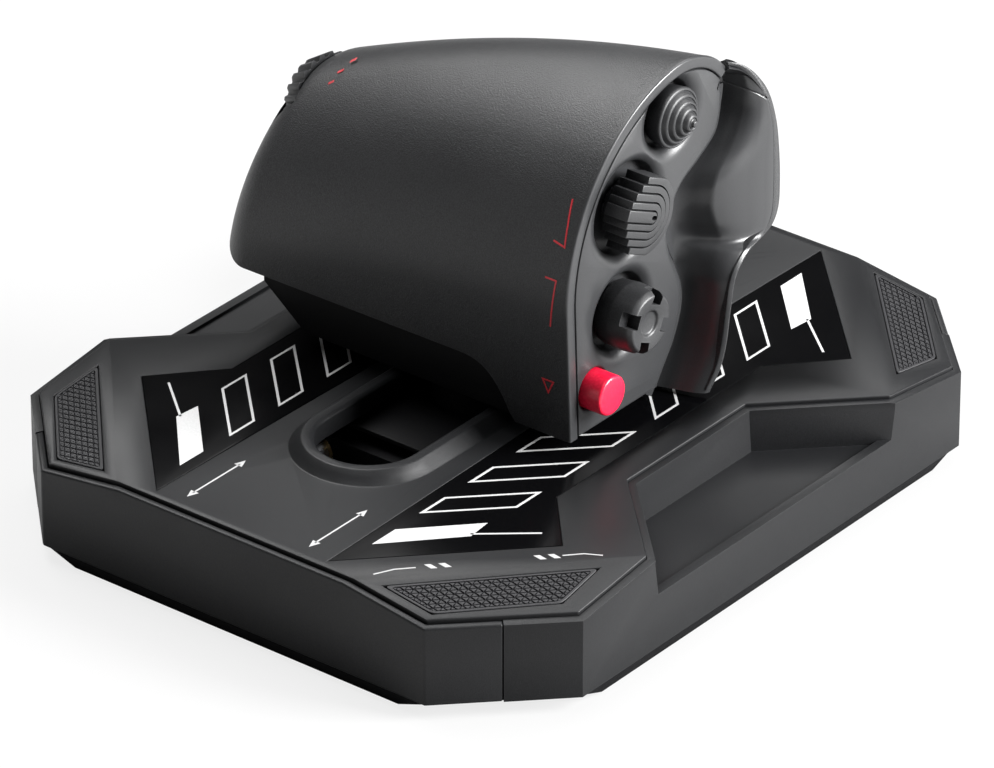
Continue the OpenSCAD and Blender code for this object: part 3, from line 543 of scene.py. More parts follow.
def skirt(x):
    """height of the palm shell's lower edge at x"""
    k = min(1.0, max(0.0, (x - SKIRT_FROM) / SKIRT_OVER))
    return SKIRT_HIGH - (SKIRT_HIGH - skirt_low) * k**3


def leaned(x, y, z):
    """the point moved along x as the outer end leans"""
    return (x + (z - LEAN_Z) * math.tan(math.radians(END_LEAN * share(x) ** 2)), y, z)


def section(x):
    """palm arc and front corner arc at x: radius, centre, angle each"""
    s, e = share(x), shrink(x)
    a0, a1 = math.radians(blend(*CORNER_FROM, s)), math.radians(blend(*CORNER_TO, s))
    rc = blend(*CORNER_R, s)
    cy, cz = palm_y + PALM_R, ridge(x) - PALM_R
    ky, kz = cy + (PALM_R - rc) * math.cos(a0), cz + (PALM_R - rc) * math.sin(a0)
    return PALM_R - e, cy, cz, a0, rc - e, ky, kz, a1


def palm_profile(x, t, rear=26, top=34, corner=18):
    """section of the palm surface at x, moved in by t, from the lower edge to the front seam"""
    r, cy, cz, a0, rc, ky, kz, a1 = section(x)
    r -= t
    z0, z1 = skirt(x) + 1.1 * shrink(x), cz + r * math.sin(math.radians(45))
    points = []
    for z in spaced(z0, z1, rear + 1)[:-1]:
        y = cy - r + PALM_LEAN * (cz - z) if z < cz else cy - math.sqrt(r * r - (z - cz) ** 2)
        points.append((y, z))
    for a in spaced(math.radians(135), a0, top + 1)[:-1]:
        points.append((cy + r * math.cos(a), cz + r * math.sin(a)))
    for a in spaced(a0, a1, corner + 1):
        points.append((ky + (rc - t) * math.cos(a), kz + (rc - t) * math.sin(a)))
    return points


def palm_point(x, z, lift=0.0):
    """point on the upright rear part of the palm face at height z"""
    r, cy, cz = section(x)[:3]
    r += lift
    y = cy - r + PALM_LEAN * (cz - z) if z < cz else cy - math.sqrt(r * r - (z - cz) ** 2)
    return leaned(x, y, z)


def closed_shell(outer, inner):
    """a closed thin shell between two grids of points of the same size"""
    bm = bmesh.new()
    rows, count = len(outer), len(outer[0])
    a = [[bm.verts.new(p) for p in row] for row in outer]
    b = [[bm.verts.new(p) for p in row] for row in inner]
    for i in range(rows - 1):
        for j in range(count - 1):
            bm.faces.new((a[i][j], a[i][j + 1], a[i + 1][j + 1], a[i + 1][j]))
            bm.faces.new((b[i][j], b[i + 1][j], b[i + 1][j + 1], b[i][j + 1]))
    for i in range(rows - 1):
        bm.faces.new((a[i][0], a[i + 1][0], b[i + 1][0], b[i][0]))
        bm.faces.new((a[i][-1], b[i][-1], b[i + 1][-1], a[i + 1][-1]))
    for j in range(count - 1):
        bm.faces.new((a[0][j], b[0][j], b[0][j + 1], a[0][j + 1]))
        bm.faces.new((a[-1][j], a[-1][j + 1], b[-1][j + 1], b[-1][j]))
    return bm


def offset_grid(grid, t):
    """the grid moved by t against its normals (u x v)"""
    rows, count = len(grid), len(grid[0])
    result = []
    for i in range(rows):
        row = []
        for j in range(count):
            u = Vector(grid[min(rows - 1, i + 1)][j]) - Vector(grid[max(0, i - 1)][j])
            v = Vector(grid[i][min(count - 1, j + 1)]) - Vector(grid[i][max(0, j - 1)])
            row.append(tuple(Vector(grid[i][j]) + u.cross(v).normalized() * t))
        result.append(row)
    return result


def end_stations(count):
    """places along the rounded outer end, closer together towards the tip"""
    return [END_X + END_ROUND * (1 - math.sin(math.radians(a))) for a in spaced(0, 90, count + 1)][1:]


# ---------- dial ----------

DIAL_TILT = math.radians(12)
DIAL_AT = Vector((-64, 4, 96))
DIAL_R = 16.5
DIAL_T = 7.5
DIAL_TAPER = 2.8
DIAL_RIBS = 24
DIAL_PLAY = 0.9


def on_dial(bm):
    """puts a part made along +z onto the dial's axis, which points to the outer end"""
    turn = Matrix.Rotation(-math.radians(90) - DIAL_TILT, 3, "Y")
    bmesh.ops.rotate(bm, verts=bm.verts, matrix=turn)
    return moved(bm, DIAL_AT)


def dial_pocket():
    """the slot the dial turns in"""
    return on_dial(cylinder(DIAL_R + DIAL_PLAY, -0.4, DIAL_T + 0.5, 96))


def make_dial():
    per_rib = 8
    count = DIAL_RIBS * per_rib
    turns = [2 * math.pi * i / count for i in range(count)]
    waves = [0.5 + 0.5 * max(-1.0, min(1.0, 2.4 * math.cos(a * DIAL_RIBS))) for a in turns]

    def cone(h):
        return DIAL_R - DIAL_TAPER * h / DIAL_T

    # height, depth of the rib bottoms below the cone, height of the ribs
    steps = [(0, 1.4, 1.4), (0.5, 1.3, 1.3), (5.9, 1.3, 1.3),
             (6.6, 1.6, 1.1), (7.2, 2.2, 0.7), (DIAL_T, 3.2, 0.2)]
    layers = []
    for h, drop, rib in steps:
        rim = [cone(h) - drop + rib * w for w in waves]
        layers.append(([(r * math.cos(a), r * math.sin(a)) for r, a in zip(rim, turns)], h))
    # the recess in the dial's face
    for r, h in ((9.2, DIAL_T), (8.8, DIAL_T - 1.2)):
        layers.append(([(r * math.cos(a), r * math.sin(a)) for a in turns], h))
    bm = on_dial(layered(layers))
    finished("dial_wheel", bm, control_rubber, "dial_knob", ["dial_knob"], 50)


make_dial()


# ---------- palm shell ----------


def make_palm_shell():
    fillet = 0.7
    outer, inner = [], []
    groove = 1.2
    # the fillet, the lip on the thumb face and the step down to the thumb panel
    outer_path = [(face_x - groove, LIP_W + 0.05), (face_x - 0.35, LIP_W + 0.02),
                  (face_x - 0.08, LIP_W - 0.2), (face_x, LIP_W - 0.6), (face_x, LIP_W * 0.6)]
    for a in spaced(0, 90, 8):
        a = math.radians(a)
        outer_path.append((face_x - fillet * (1 - math.cos(a)), fillet * (1 - math.sin(a))))
    inner_path = [(face_x - 2.5, t) for t in spaced(LIP_W, SHELL_T + 0.2, len(outer_path))]
    for (xo, to), (xi, ti) in zip(outer_path, inner_path):
        outer.append([(xo, y, z) for y, z in palm_profile(face_x, to)])
        inner.append([(xi, y, z) for y, z in palm_profile(face_x, ti)])
    stations = spaced(face_x - fillet - 1.5, END_X + END_ROUND, 60) + end_stations(16)
    for x in stations:
        outer.append([leaned(x, y, z) for y, z in palm_profile(x, 0)])
        inner.append([leaned(min(x, face_x - 3) + SHELL_T * shrink(x) / END_ROUND, y, z)
                      for y, z in palm_profile(x, SHELL_T * (1 - 0.7 * shrink(x) / END_ROUND))])
    bm = closed_shell(outer, inner)
    bm = boolean(bm, dial_pocket())
    obj = finished("palm_cover", bm, shell_plastic, "throttle", ["palm_shell"], 50)
    obj.data.materials.append(thumb_plastic)
    for face in obj.data.polygons:
        if face.center.x > (face_x - 0.9) * MM:
            face.material_index = 1


make_palm_shell()


# ---------- front shell and wing ----------

# from the bottom up: edge of the thumb panel (y, z) and outline of the flare (y, z, x)
PANEL_EDGE = [(12.2, 35.8), (17, 43), (21.5, 50), (25, 60), (25, 68),
              (22.5, 75), (20, 80), (18.4, 86), (19.5, 92), (24, 99),
              (32, 103.5), (40, 109), (42.8, 116), (43, 123), (41.8, 126.8)]
FLARE = [(24.8, 36.1, 58.2), (28.5, 43, 59.3), (31, 50, 59.3), (33.8, 60, 58.6), (36.5, 69, 58.4),
         (44, 74.3, 58), (54, 75.8, 57), (58, 81, 57), (58.6, 90, 57), (58.2, 100, 56.8),
         (57.2, 109.6, 56.3), (55, 118.8, 55), (51.4, 125.4, 52.8), (47.6, 129.2, 50.6), (43.4, 131, 48.6)]
# across the wing: share of the way from panel edge to outline, share of the dip, share of the flare
ACROSS = [(0, 0.35, 0), (0.06, 0.6, 0), (0.14, 0.93, 0), (0.24, 1.08, 0), (0.34, 1, 0), (0.45, 0.68, 0.05),
          (0.56, 0.26, 0.25), (0.67, 0.02, 0.58), (0.78, 0, 0.84), (0.88, 0, 0.975),
          (0.95, 0, 1), (1, 0, 0.93)]
CHANNEL_DIP = 6.5
WING_SPLIT = 0.9
LAST_ROW = len(FLARE) - 1
# share of the width, row by row, where the channel turns into the ridge
RIDGE_FROM = [0.64, 0.64, 0.64, 0.62, 0.6, 0.56, 0.51, 0.42, 0.36, 0.34, 0.42, 0.54, 0.65, 0.74, 0.8]
RIDGE_SHARE = 0.62


def wing_point(v, k):
    """surface point at row v and share k of the wing's width"""
    ey, ez = curve_at(PANEL_EDGE, v)
    fy, fz, fx = curve_at(FLARE, v)
    (turn,) = curve_at([(r,) for r in RIDGE_FROM], v)
    if k < turn:
        across = k / turn * RIDGE_SHARE
    else:
        across = RIDGE_SHARE + (k - turn) / (1 - turn) * (1 - RIDGE_SHARE)
    table = 0
    while table < len(ACROSS) - 2 and ACROSS[table + 1][0] < across:
        table += 1
    k0, k1 = ACROSS[table][0], ACROSS[table + 1][0]
    _, dip, flare = curve_at(ACROSS, table + (across - k0) / (k1 - k0))
    width = math.hypot(fy - ey, fz - ez)
    x = face_x - CHANNEL_DIP * min(1.0, width / 14) * dip + (fx - face_x) * flare
    return (x, blend(ey, fy, k), blend(ez, fz, k))


def front_low(x):
    return skirt_low + max(0.0, -50.0 - x) * 0.78 + 0.6 * shrink(x)


def front_point(v, x):
    r, cy, cz, a0, rc, ky, kz, a1 = section(x)
    s = share(x)
    ty, tz = ky + rc * math.cos(a1), kz + rc * math.sin(a1) - SEAM
    by, bz, _ = curve_at(FLARE, v)
    top_y, top_z, _ = FLARE[-1]
    low_z = FLARE[0][1]
    dy = by - top_y
    dy *= blend(1, 0.6, s) if dy > 0 else blend(1, 0.35, min(1.0, 2 * s))
    z = blend(front_low(x), tz, (bz - low_z) / (top_z - low_z))
    return leaned(x, ty + dy, z)


def seam_row(k):
    """row at which the seam between wing panel and front shell crosses share k of the width"""
    return 13.35 - 2.75 * k**1.4


def make_wing():
    rows = spaced(0, 10.2, 120) + spaced(10.2, 13.6, 150)[1:] + spaced(13.6, LAST_ROW, 9)[1:]
    shares = spaced(0, WING_SPLIT, 80)
    groove, half_width = 0.4, 0.075
    grid = []
    for v in rows:
        line = []
        for k in shares:
            x, y, z = wing_point(v, k)
            x -= groove * max(0.0, 1 - abs(v - seam_row(k)) / half_width)
            line.append((x, y, z))
        grid.append(line)
    bm = closed_shell(grid, offset_grid(grid, 1.8))
    finished("flared_wing", bm, thumb_plastic, "throttle", ["wing_panel"], 50)


# openings of the finger side: radius and the depth (y) each one starts at
FINGER_HOLES = {"mini_stick": (9.0, 48), "index_button": (5.4, 38), "finger_button": (5.4, 34)}
ROCKER_PLAY = 3.4
ROCKER_Z = 57
ROCKER_TALL = 25


def make_front_shell():
    reach = 30
    rows = spaced(0, LAST_ROW, 120)
    grid = []
    stations = [46.0] + spaced(40, END_X + END_ROUND, 44) + end_stations(12)
    for v in rows:
        line = [wing_point(v, k) for k in spaced(WING_SPLIT + 0.004, 1, 7)]
        line += [front_point(v, x) for x in stations]
        grid.append(line)
    bm = closed_shell(grid, offset_grid(grid, 2))
    bm = boolean(bm, dial_pocket())
    for name, (r, y) in FINGER_HOLES.items():
        centre = mid(name)
        hole = cylinder(r, 0, reach)
        bmesh.ops.rotate(hole, verts=hole.verts, matrix=Matrix.Rotation(math.radians(-90), 3, "X"))
        bm = boolean(bm, moved(hole, (centre.x, y, centre.z)))
    lo, hi = low("rudder_rocker"), high("rudder_rocker")
    box = bmesh.new()
    bmesh.ops.create_cube(box, size=1)
    bmesh.ops.scale(box, vec=(hi.x - lo.x + 2 * ROCKER_PLAY, reach, ROCKER_TALL), verts=box.verts)
    bm = boolean(bm, moved(box, ((lo.x + hi.x) / 2, reach, ROCKER_Z)))
    finished("front_cover", bm, shell_plastic, "throttle", ["front_shell"], 45)


make_wing()
make_front_shell()


# ---------- thumb panel ----------

# cup around each hat: radius, width of its rounded rim
CUPS = {"upper_hat": (10.2, 4.4), "middle_hat": (14.0, 3.4), "lower_hat": (11.7, 3.6)}
CUP_DEPTH = 5.0
PLATE_T = 8.4
PLATE_BACK = 9.5
GIMBAL_BORE = 6.3
PIN_BORE = 0.85
PIN_REACH = 8.2
PANEL_LOW = 39.4
HAT_TURN = math.radians(25)


def hat_centre(name):
    c = mid(name + "_gimbal")
    return Vector((face_x, c.y, c.z))


def evenly(path, count):
    """the path as evenly spaced points"""
    reach = [0.0]
    for a, b in zip(path, path[1:]):
        reach.append(reach[-1] + math.dist(a, b))
    points, i = [], 0
    for want in spaced(0, reach[-1], count):
        while i < len(path) - 2 and reach[i + 1] < want:
            i += 1
        k = (want - reach[i]) / max(1e-9, reach[i + 1] - reach[i])
        points.append((blend(path[i][0], path[i + 1][0], k), blend(path[i][1], path[i + 1][1], k)))
    return points


def panel_outline(roll, edge):
    """outline of the thumb panel (y, z): up the palm side, then down the wing side"""
    corner = PANEL_LOW + edge
    rear = [p for p in palm_profile(face_x, LIP_W + 0.15 + edge) if p[1] > corner + 1]
    rear = [(rear[0][0], corner)] + rear
    front = []
    for v in spaced(0.5, LAST_ROW - 0.25, 90):
        y, z = curve_at(PANEL_EDGE, v)
        y1, z1 = curve_at(PANEL_EDGE, v + 0.05)
        y0, z0 = curve_at(PANEL_EDGE, v - 0.05)
        d = Vector((y1 - y0, z1 - z0)).normalized()
        front.append((y - 0.2 - d.y * roll, z + d.x * roll))
    front = [(front[0][0], corner)] + [p for p in front if p[1] > corner]
    return evenly(rear, 140) + list(reversed(evenly(front, 140)))


def make_thumb_panel():
    roll = 3.6
    layers = [(panel_outline(0, 0), face_x - PLATE_T)]
    for a in spaced(0, 90, 10):
        a = math.radians(a)
        side = 0.45
        layers.append((panel_outline(roll * (1 - math.cos(a)), side * (1 - math.cos(a))),
                       face_x - roll * (1 - math.sin(a))))
    rings = [[(x, y, z) for y, z in outline] for outline, x in layers]
    bm = rings_mesh(rings, caps=False)
    bm.verts.ensure_lookup_table()
    count = len(rings[0])
    for ring in (bm.verts[:count], bm.verts[-count:]):
        for i in range(count // 2 - 1):
            bm.faces.new((ring[i], ring[i + 1], ring[count - 2 - i], ring[count - 1 - i]))
    for name, (r, lead) in CUPS.items():
        profile = [(0, -CUP_DEPTH), (r - 0.8, -CUP_DEPTH), (r, -CUP_DEPTH + 0.8)]
        profile += [(r + lead * k, -lead * 0.55 * (1 - k) ** 2) for k in spaced(0, 1, 9)]
        profile += [(r + lead + 0.01, 6), (0, 6)]
        cutter = lathe(profile, 96, "x")
        bm = boolean(bm, moved(cutter, hat_centre(name)))
        bm = boolean(bm, moved(cylinder(GIMBAL_BORE, -PLATE_BACK, -CUP_DEPTH + 1, 48, "x"), hat_centre(name)))
        pins = cylinder(PIN_BORE, -PIN_REACH, PIN_REACH, 24)
        bmesh.ops.rotate(pins, verts=pins.verts, matrix=Matrix.Rotation(math.radians(90) - HAT_TURN, 3, "X"))
        bm = boolean(bm, moved(pins, mid(name + "_gimbal")))
    button = mid("red_button")
    r = 6.2
    profile = [(0, -PLATE_BACK), (r, -PLATE_BACK)]
    profile += [(r + 0.7 * k, -0.7 * (1 - k) ** 2) for k in spaced(0, 1, 5)]
    profile += [(r + 0.71, 4), (0, 4)]
    bm = boolean(bm, moved(lathe(profile, 64, "x"), (face_x, button.y, button.z)))
    finished("thumb_plate", bm, thumb_plastic, "throttle", ["thumb_panel"], 45)


make_thumb_panel()


# ---------- hats and buttons ----------

HAT_BACK = 3.1


def along_x(bm, centre, turn=0.0):
    """puts a part made along +z (its x to +y, its y to +z) at centre, pointing along +x"""
    bmesh.ops.rotate(bm, verts=bm.verts, matrix=Matrix.Rotation(-turn, 3, "Z"))
    swap = Matrix(((0, 0, 1), (1, 0, 0), (0, 1, 0)))
    bmesh.ops.transform(bm, matrix=swap.to_4x4(), verts=bm.verts)
    return moved(bm, (centre.x, centre.y, centre.z))


def make_upper_hat():
    centre = hat_centre("upper_hat")
    body_r = 9.1
    rings = 5
    corners = [(0, -HAT_BACK), (body_r - 0.6, -HAT_BACK), (body_r, 1.6)]
    r, h = body_r, 2.2
    for i in range(rings):
        corners += [(r - 0.15, h), (r - 0.75, h + 0.35), (r - 1.05, h - 0.1)]
        r -= 1.62
        h += 1.25
        corners += [(r + 0.35, h - 1.0)]
    corners += [(1.1, h - 0.9), (0.9, h - 0.1), (0, h)]
    bm = lathe(rounded_profile(corners, 0.22, 3), 72)
    finished("ringed_hat", along_x(bm, centre), control_rubber, "upper_hat",
             ["upper_hat"], 60)


def make_middle_hat():
    centre = hat_centre("middle_hat")
    r, right, groove = 12.2, 1.0, 0.5
    # from the outside in: half width, straight left end and height of each bar
    bars = [(11.3, -4.2, 6.5), (8.9, -6.6, 6.9), (6.5, -9.0, 7.3), (4.0, -10.6, 7.7), (1.7, -11.6, 8.0)]

    def bar_outline(w, left, grown=0.0):
        spread = math.degrees(math.asin(w / r))
        end = arc(0, 0, r, -spread, spread, 25) if w > 9 else arc(right, 0, w + grown, -90, 90, 25)
        return [(left, -w - grown)] + end + [(left, w + grown)]

    whole = plate(bar_outline(*bars[0][:2]), -1.5, bars[0][2], 0.35, 4)
    for (_, _, before), (w, left, h) in zip(bars, bars[1:]):
        gap = bar_outline(w, -20, groove)
        whole = boolean(whole, layered([(gap, before - 1.1), (gap, 20)]))
        whole = boolean(whole, plate(bar_outline(w, left), before - 7.9, h, 0.3, 4), "UNION")
    slot = [(x + 1.4, y) for x, y in arc(-0.5, 0, 0.7, 90, 270, 9) + arc(0.5, 0, 0.7, -90, 90, 9)]
    whole = boolean(whole, layered([(slot, 6.6), (slot, 12)]))
    base = plate(arc(0, 0, 8.5, 0, 354, 60), -3.2, 0.5, 0.3)
    whole = boolean(whole, base, "UNION")
    finished("ribbed_hat", along_x(whole, centre, HAT_TURN), control_rubber, "middle_hat",
             ["middle_hat"], 40)


def make_lower_hat():
    centre = hat_centre("lower_hat")
    r, tall = 10.0, 10.2
    corners = [(0, -HAT_BACK), (r - 0.6, -HAT_BACK), (r, 2), (r - 0.5, tall - 1.6), (r - 1.6, tall),
               (3.9, tall - 0.5), (3.4, tall - 1.3), (0, tall - 1.6)]
    bm = lathe(rounded_profile(corners, 0.5, 4), 72)
    for a in (0, 90, 180, 270):
        notch = bmesh.new()
        bmesh.ops.create_cube(notch, size=1)
        bmesh.ops.scale(notch, vec=(8, 4.3, 9), verts=notch.verts)
        bmesh.ops.translate(notch, vec=(r - 0.4, 0, tall - 4.2 + 4.5), verts=notch.verts)
        bmesh.ops.rotate(notch, verts=notch.verts, matrix=Matrix.Rotation(math.radians(a), 3, "Z"))
        bm = boolean(bm, notch)
    finished("castle_hat", along_x(bm, centre, HAT_TURN), control_rubber, "lower_hat",
             ["lower_hat"], 35)


def make_red_button():
    lo, hi = low("red_button"), high("red_button")
    centre = (lo + hi) / 2
    r = 6.05
    corners = [(0, lo.x - face_x), (r, lo.x - face_x), (r, hi.x - face_x), (0, hi.x - face_x)]
    bm = lathe(rounded_profile(corners, 1.1, 7), 72)
    centre.x = face_x
    finished("round_button", along_x(bm, centre), red_plastic, "red_button",
             ["red_button"], 50)


make_upper_hat()
make_middle_hat()
make_lower_hat()
make_red_button()


# ---------- corner pads ----------

FACET_AT = Vector((68.8, 88.4, high("right_deck_inlay").z))
FACET_TURN = math.radians(47.6)
FACET_TILT = math.radians(10.5)
PAD = [(-31, 4), (29, 4), (16.5, 17), (-19.5, 17)]


def on_facet(bm, side_x, side_y):
    """moves a part from the facet's own frame to one of the four corners"""
    bmesh.ops.rotate(bm, verts=bm.verts, matrix=Matrix.Rotation(-FACET_TILT, 3, "X"))
    bmesh.ops.rotate(bm, verts=bm.verts, matrix=Matrix.Rotation(-FACET_TURN, 3, "Z"))
    moved(bm, FACET_AT)
    bmesh.ops.scale(bm, vec=(side_x, side_y, 1), verts=bm.verts)
    return bm


def clipped(shape, outline):
    """the part of a convex shape inside a convex anticlockwise outline"""
    for i, (ax, ay) in enumerate(outline):
        bx, by = outline[(i + 1) % len(outline)]
        kept = []
        depth = [(bx - ax) * (y - ay) - (by - ay) * (x - ax) for x, y in shape]
        for j, (x, y) in enumerate(shape):
            (px, py), d, before = shape[j - 1], depth[j], depth[j - 1]
            if (d >= 0) != (before >= 0):
                t = before / (before - d)
                kept.append((blend(px, x, t), blend(py, y, t)))
            if d >= 0:
                kept.append((x, y))
        shape = kept
        if len(shape) < 3:
            return []
    return shape


def area_of(shape):
    return 0.5 * sum(shape[i - 1][0] * y - x * shape[i - 1][1] for i, (x, y) in enumerate(shape))


def rounded_outline(outline, r, steps=5):
    """a closed outline with each corner rounded, starting r away from it"""
    path = []
    for i, corner in enumerate(outline):
        q, p, s = Vector(corner), Vector(outline[i - 1]), Vector(outline[(i + 1) % len(outline)])
        a, b = q + (p - q).normalized() * r, q + (s - q).normalized() * r
        for k in spaced(0, 1, steps):
            path.append(tuple(a * (1 - k) ** 2 + q * 2 * k * (1 - k) + b * k**2))
    return path


def pad_mesh():
    """a pad with a plain border and a field of small raised triangles"""
    pitch, sunk = 2.7, 0.5
    tall = pitch * 0.62
    border = rounded_outline(PAD, 2.0)
    field = inset_outline(PAD, 1.0)
    well = rounded_outline(inset_outline(PAD, 0.8), 1.6)
    layers = [(border, -1.2), (border, -0.1), (inset_outline(border, 0.15), 0.05),
              (inset_outline(well, -0.05), 0.05), (well, -sunk)]
    parts = [layered(layers)]
    for row in range(-1, 24):
        for column in range(-26, 26):
            for up in (1, -1):
                x = (column + 0.5 * (row % 2) + (0 if up > 0 else 0.5)) * pitch
                y = 3.0 + row * tall
                low_y, high_y = (y, y + tall) if up > 0 else (y + tall, y)
                cell = [(x - pitch / 2 * up, low_y), (x + pitch / 2 * up, low_y), (x, high_y)]
                shape = clipped(cell, field)
                if len(shape) < 3 or area_of(shape) < 0.5:
                    continue
                cx = sum(p[0] for p in shape) / len(shape)
                cy = sum(p[1] for p in shape) / len(shape)
                foot = [(blend(cx, a, 0.93), blend(cy, b, 0.93)) for a, b in shape]
                top = [(blend(cx, a, 0.6), blend(cy, b, 0.6)) for a, b in shape]
                parts.append(layered([(foot, -sunk - 0.05), (top, 0.0)]))
    return joined(parts)


def make_pads():
    parts = [on_facet(pad_mesh(), sx, sy) for sx in (1, -1) for sy in (1, -1)]
    bm = joined(parts)
    finished("grip_pads", bm, rubber_pad, "base", ["corner_pads"], 20)


make_pads()


# ---------- printed marks: thin raised ink ----------

INK = 0.06
SUNK = 0.05


def finely(path, step=1.0):
    """the path with points added so that none are further apart than the step"""
    points = [path[0]]
    for a, b in zip(path, path[1:]):
        count = max(1, math.ceil(math.dist(a, b) / step))
        points += [(blend(a[0], b[0], i / count), blend(a[1], b[1], i / count)) for i in range(1, count + 1)]
    return points


def ribbon(path, width, place, closed=False):
    """a thin strip of ink along a path; place(x, y, lift) puts it on its surface"""
    count = len(path)
    rings = []
    for i, (x, y) in enumerate(path):
        before = path[i - 1] if i or closed else (2 * x - path[1][0], 2 * y - path[1][1])
        after = path[(i + 1) % count] if i < count - 1 or closed else (2 * x - before[0], 2 * y - before[1])
        d0 = Vector((x - before[0], y - before[1])).normalized()
        d1 = Vector((after[0] - x, after[1] - y)).normalized()
        side = Vector((-d0.y - d1.y, d0.x + d1.x))
        side *= width / max(0.5, side.length_squared)
        a, b = (x + side.x, y + side.y), (x - side.x, y - side.y)
        rings.append([place(*a, -SUNK), place(*b, -SUNK), place(*b, INK), place(*a, INK)])
    if closed:
        rings.append(rings[0])
    return rings_mesh(rings, caps=not closed)


def patch_of_ink(outline, place):
    return rings_mesh([[place(x, y, lift) for x, y in outline] for lift in (-SUNK, INK)])


def make_palm_marks():
    line_w = 0.5
    brackets = [
        [(43.3, 112.5), (44.4, 106.4), (45.2, 100.3), (41, 101)],
        [(40.2, 90.3), (44.1, 90.3), (43.3, 83), (42.4, 75.4)],
    ]
    arrow = [(39.2, 57.3), (43.0, 57.3), (41.1, 53.4)]
    dial_ticks = [(-61.4, 110.6), (-61, 113), (-59.4, 115.6)]
    parts = [ribbon(finely(path), line_w, palm_point) for path in brackets]
    parts.append(ribbon(arrow, line_w, palm_point, closed=True))
    for x, z in dial_ticks:
        parts.append(ribbon([(x, z), (x + 1.4, z + 0.9)], line_w, palm_point))
    finished("palm_marks", joined(parts), red_print, "throttle", sharp=20)


def make_deck_marks():
    unit = 0.85
    top = high("right_deck_inlay").z
    white, grey = [], []

    def outlined(corners):
        return ribbon([(x * unit, y * unit) for x, y in corners], 0.75, place, closed=True)

    for sx in (1, -1):
        for sy in (1, -1):

            def place(x, y, lift):
                return (sx * x, sy * y, top + lift)

            flag = [(63, 93), (62, 83), (41, 105), (41, 117)]
            white.append(patch_of_ink([(x * unit, y * unit) for x, y in flag], place))
            white.append(ribbon([(62 * unit, 92 * unit), (80 * unit, 77 * unit)], 0.7, place))
            for drop in (0, 25.5, 51):
                white.append(outlined([(63, 69 - drop), (63, 57 - drop), (41, 79 - drop), (41, 91 - drop)]))
            if sy > 0:
                continue
            stem = [(26 * unit, y * unit) for y in (104, 128)]
            grey.append(ribbon(stem, 0.5, place))
            for tip, back in ((101, 105), (131, 127)):
                grey.append(patch_of_ink([(26 * unit, tip * unit), (24.4 * unit, back * unit),
                                          (27.6 * unit, back * unit)], place))
            if sx < 0:
                continue

            def on_crease(x, y, lift):
                a = -FACET_TURN
                return (sx * (FACET_AT.x + x * math.cos(a) - y * math.sin(a)),
                        sy * (FACET_AT.y + x * math.sin(a) + y * math.cos(a)), top + lift)

            for line in ([(-33, -1.5), (-27, -3.2), (-21, -3.2)], [(20, -3.2), (26, -3.2), (31, -1.5)]):
                grey.append(ribbon(line, 0.5, on_crease))
            for x in (-18.5, -14.5, 12, 16):
                slash = [(x, -4.4), (x + 1.8, -4.4), (x + 3.4, -2), (x + 1.6, -2)]
                grey.append(patch_of_ink(slash, on_crease))
    finished("deck_marks", joined(white), white_print, "base", sharp=20)
    finished("deck_lines", joined(grey), grey_print, "base", sharp=20)


make_palm_marks()
make_deck_marks()


# ---------- floor, light and camera ----------


def area_light(name, place, aim_z, size, power):
    """a rectangular soft light aimed at a height on the centre line"""
    data = bpy.data.lights.new(name, "AREA")
    data.shape = "RECTANGLE"
    data.size, data.size_y = size
    data.energy = power
    obj = bpy.data.objects.new(name, data)
    bpy.context.scene.collection.objects.link(obj)
    obj.location = place
    obj.rotation_mode = "QUATERNION"
    obj.rotation_quaternion = (Vector((0, 0, aim_z)) - Vector(place)).to_track_quat("-Z", "Y")


def floor_paper():
    """matt paper that looks almost evenly white to the camera"""
    mat = material("floor_paper", (0.4, 0.4, 0.4), rough=0.9, specular=0.0)
    tree = mat.node_tree
    glow = tree.nodes.new("ShaderNodeEmission")
    path = tree.nodes.new("ShaderNodeLightPath")
    amount = tree.nodes.new("ShaderNodeMath")
    amount.operation = "MULTIPLY"
    amount.inputs[1].default_value = 0.8
    mix = tree.nodes.new("ShaderNodeMixShader")
    tree.links.new(path.outputs["Is Camera Ray"], amount.inputs[0])
    tree.links.new(amount.outputs["Value"], mix.inputs["Fac"])
    tree.links.new(tree.nodes["Principled BSDF"].outputs["BSDF"], mix.inputs[1])
    tree.links.new(glow.outputs["Emission"], mix.inputs[2])
    tree.links.new(mix.outputs["Shader"], tree.nodes["Material Output"].inputs["Surface"])
    return mat


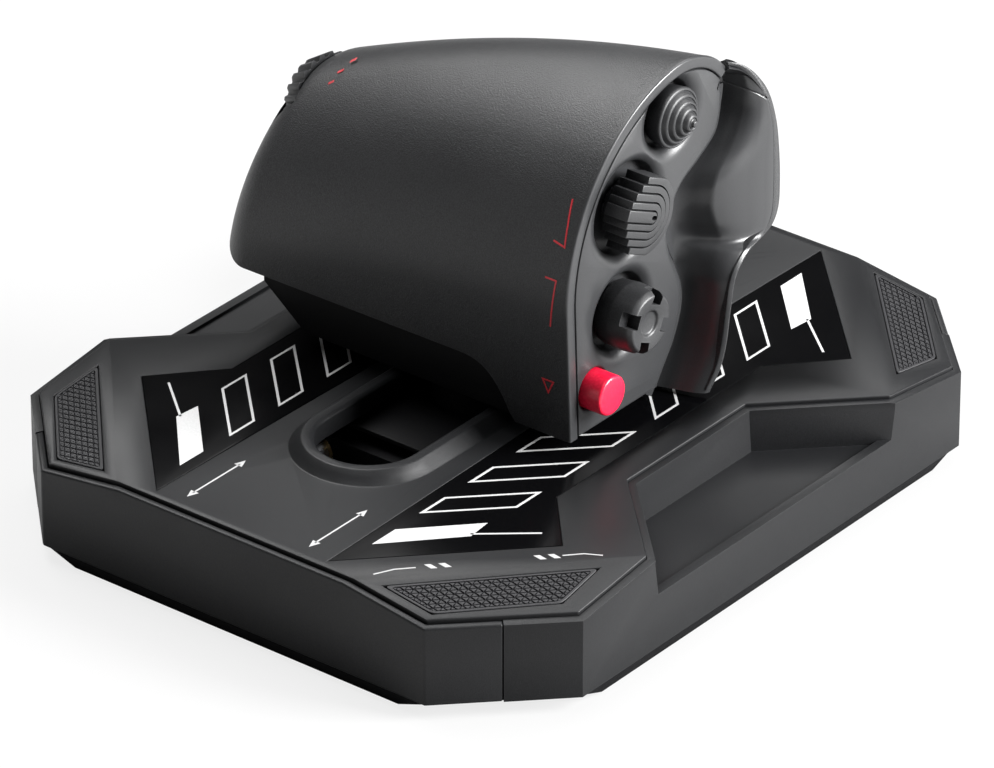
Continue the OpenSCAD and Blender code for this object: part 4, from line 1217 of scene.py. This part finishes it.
def make_stage():
    floor_size = 12.0
    mesh = bpy.data.meshes.new("floor")
    half = floor_size / 2
    corners = [(-half, -half, 0), (half, -half, 0), (half, half, 0), (-half, half, 0)]
    mesh.from_pydata(corners, [], [(0, 1, 2, 3)])
    floor = bpy.data.objects.new("floor", mesh)
    bpy.context.scene.collection.objects.link(floor)
    mesh.materials.append(floor_paper())

    world = bpy.data.worlds.new("studio")
    bpy.context.scene.world = world
    world.use_nodes = True
    tree = world.node_tree
    light = tree.nodes["Background"]
    light.inputs["Color"].default_value = (1, 1, 1, 1)
    light.inputs["Strength"].default_value = 0.05
    seen = tree.nodes.new("ShaderNodeBackground")
    seen.inputs["Strength"].default_value = 1.0
    seen.inputs["Color"].default_value = (1, 1, 1, 1)
    path = tree.nodes.new("ShaderNodeLightPath")
    mix = tree.nodes.new("ShaderNodeMixShader")
    tree.links.new(path.outputs["Is Camera Ray"], mix.inputs["Fac"])
    tree.links.new(light.outputs["Background"], mix.inputs[1])
    tree.links.new(seen.outputs["Background"], mix.inputs[2])
    tree.links.new(mix.outputs["Shader"], tree.nodes["World Output"].inputs["Surface"])

    area_light("back_top", (-0.2, 0.9, 1.2), 0.05, (1.2, 0.8), 14)
    area_light("right_side", (1.25, 0.6, 0.7), 0.06, (0.7, 0.9), 105)
    area_light("overhead", (-0.3, -0.1, 1.5), 0.05, (0.8, 0.8), 14)
    area_light("front_fill", (-0.6, -1.3, 0.5), 0.05, (0.8, 0.6), 1.5)
    area_light("palm_sheen", (-0.85, 0.15, 1.2), 0.1, (0.7, 0.7), 14)


def make_camera():
    azimuth, elevation = math.radians(38.485), math.radians(29.565)
    distance = 2.3897
    lens = 301.509
    aim_drop = 4.79 * MM
    data = bpy.data.cameras.new("camera")
    data.sensor_width = 36
    data.lens = lens
    data.clip_start, data.clip_end = 0.1, 20
    camera = bpy.data.objects.new("camera", data)
    bpy.context.scene.collection.objects.link(camera)
    level = math.cos(elevation)
    back = Vector((math.sin(azimuth) * level, -math.cos(azimuth) * level, math.sin(elevation)))
    turn = (-back).to_track_quat("-Z", "Y")
    aim = Vector((0, 0, high("right_deck_inlay").z * MM)) - turn @ Vector((0, aim_drop, 0))
    camera.location = aim + back * distance
    camera.rotation_mode = "QUATERNION"
    camera.rotation_quaternion = turn
    bpy.context.scene.camera = camera


make_stage()
make_camera()
bpy.context.scene.view_settings.view_transform = "Standard"
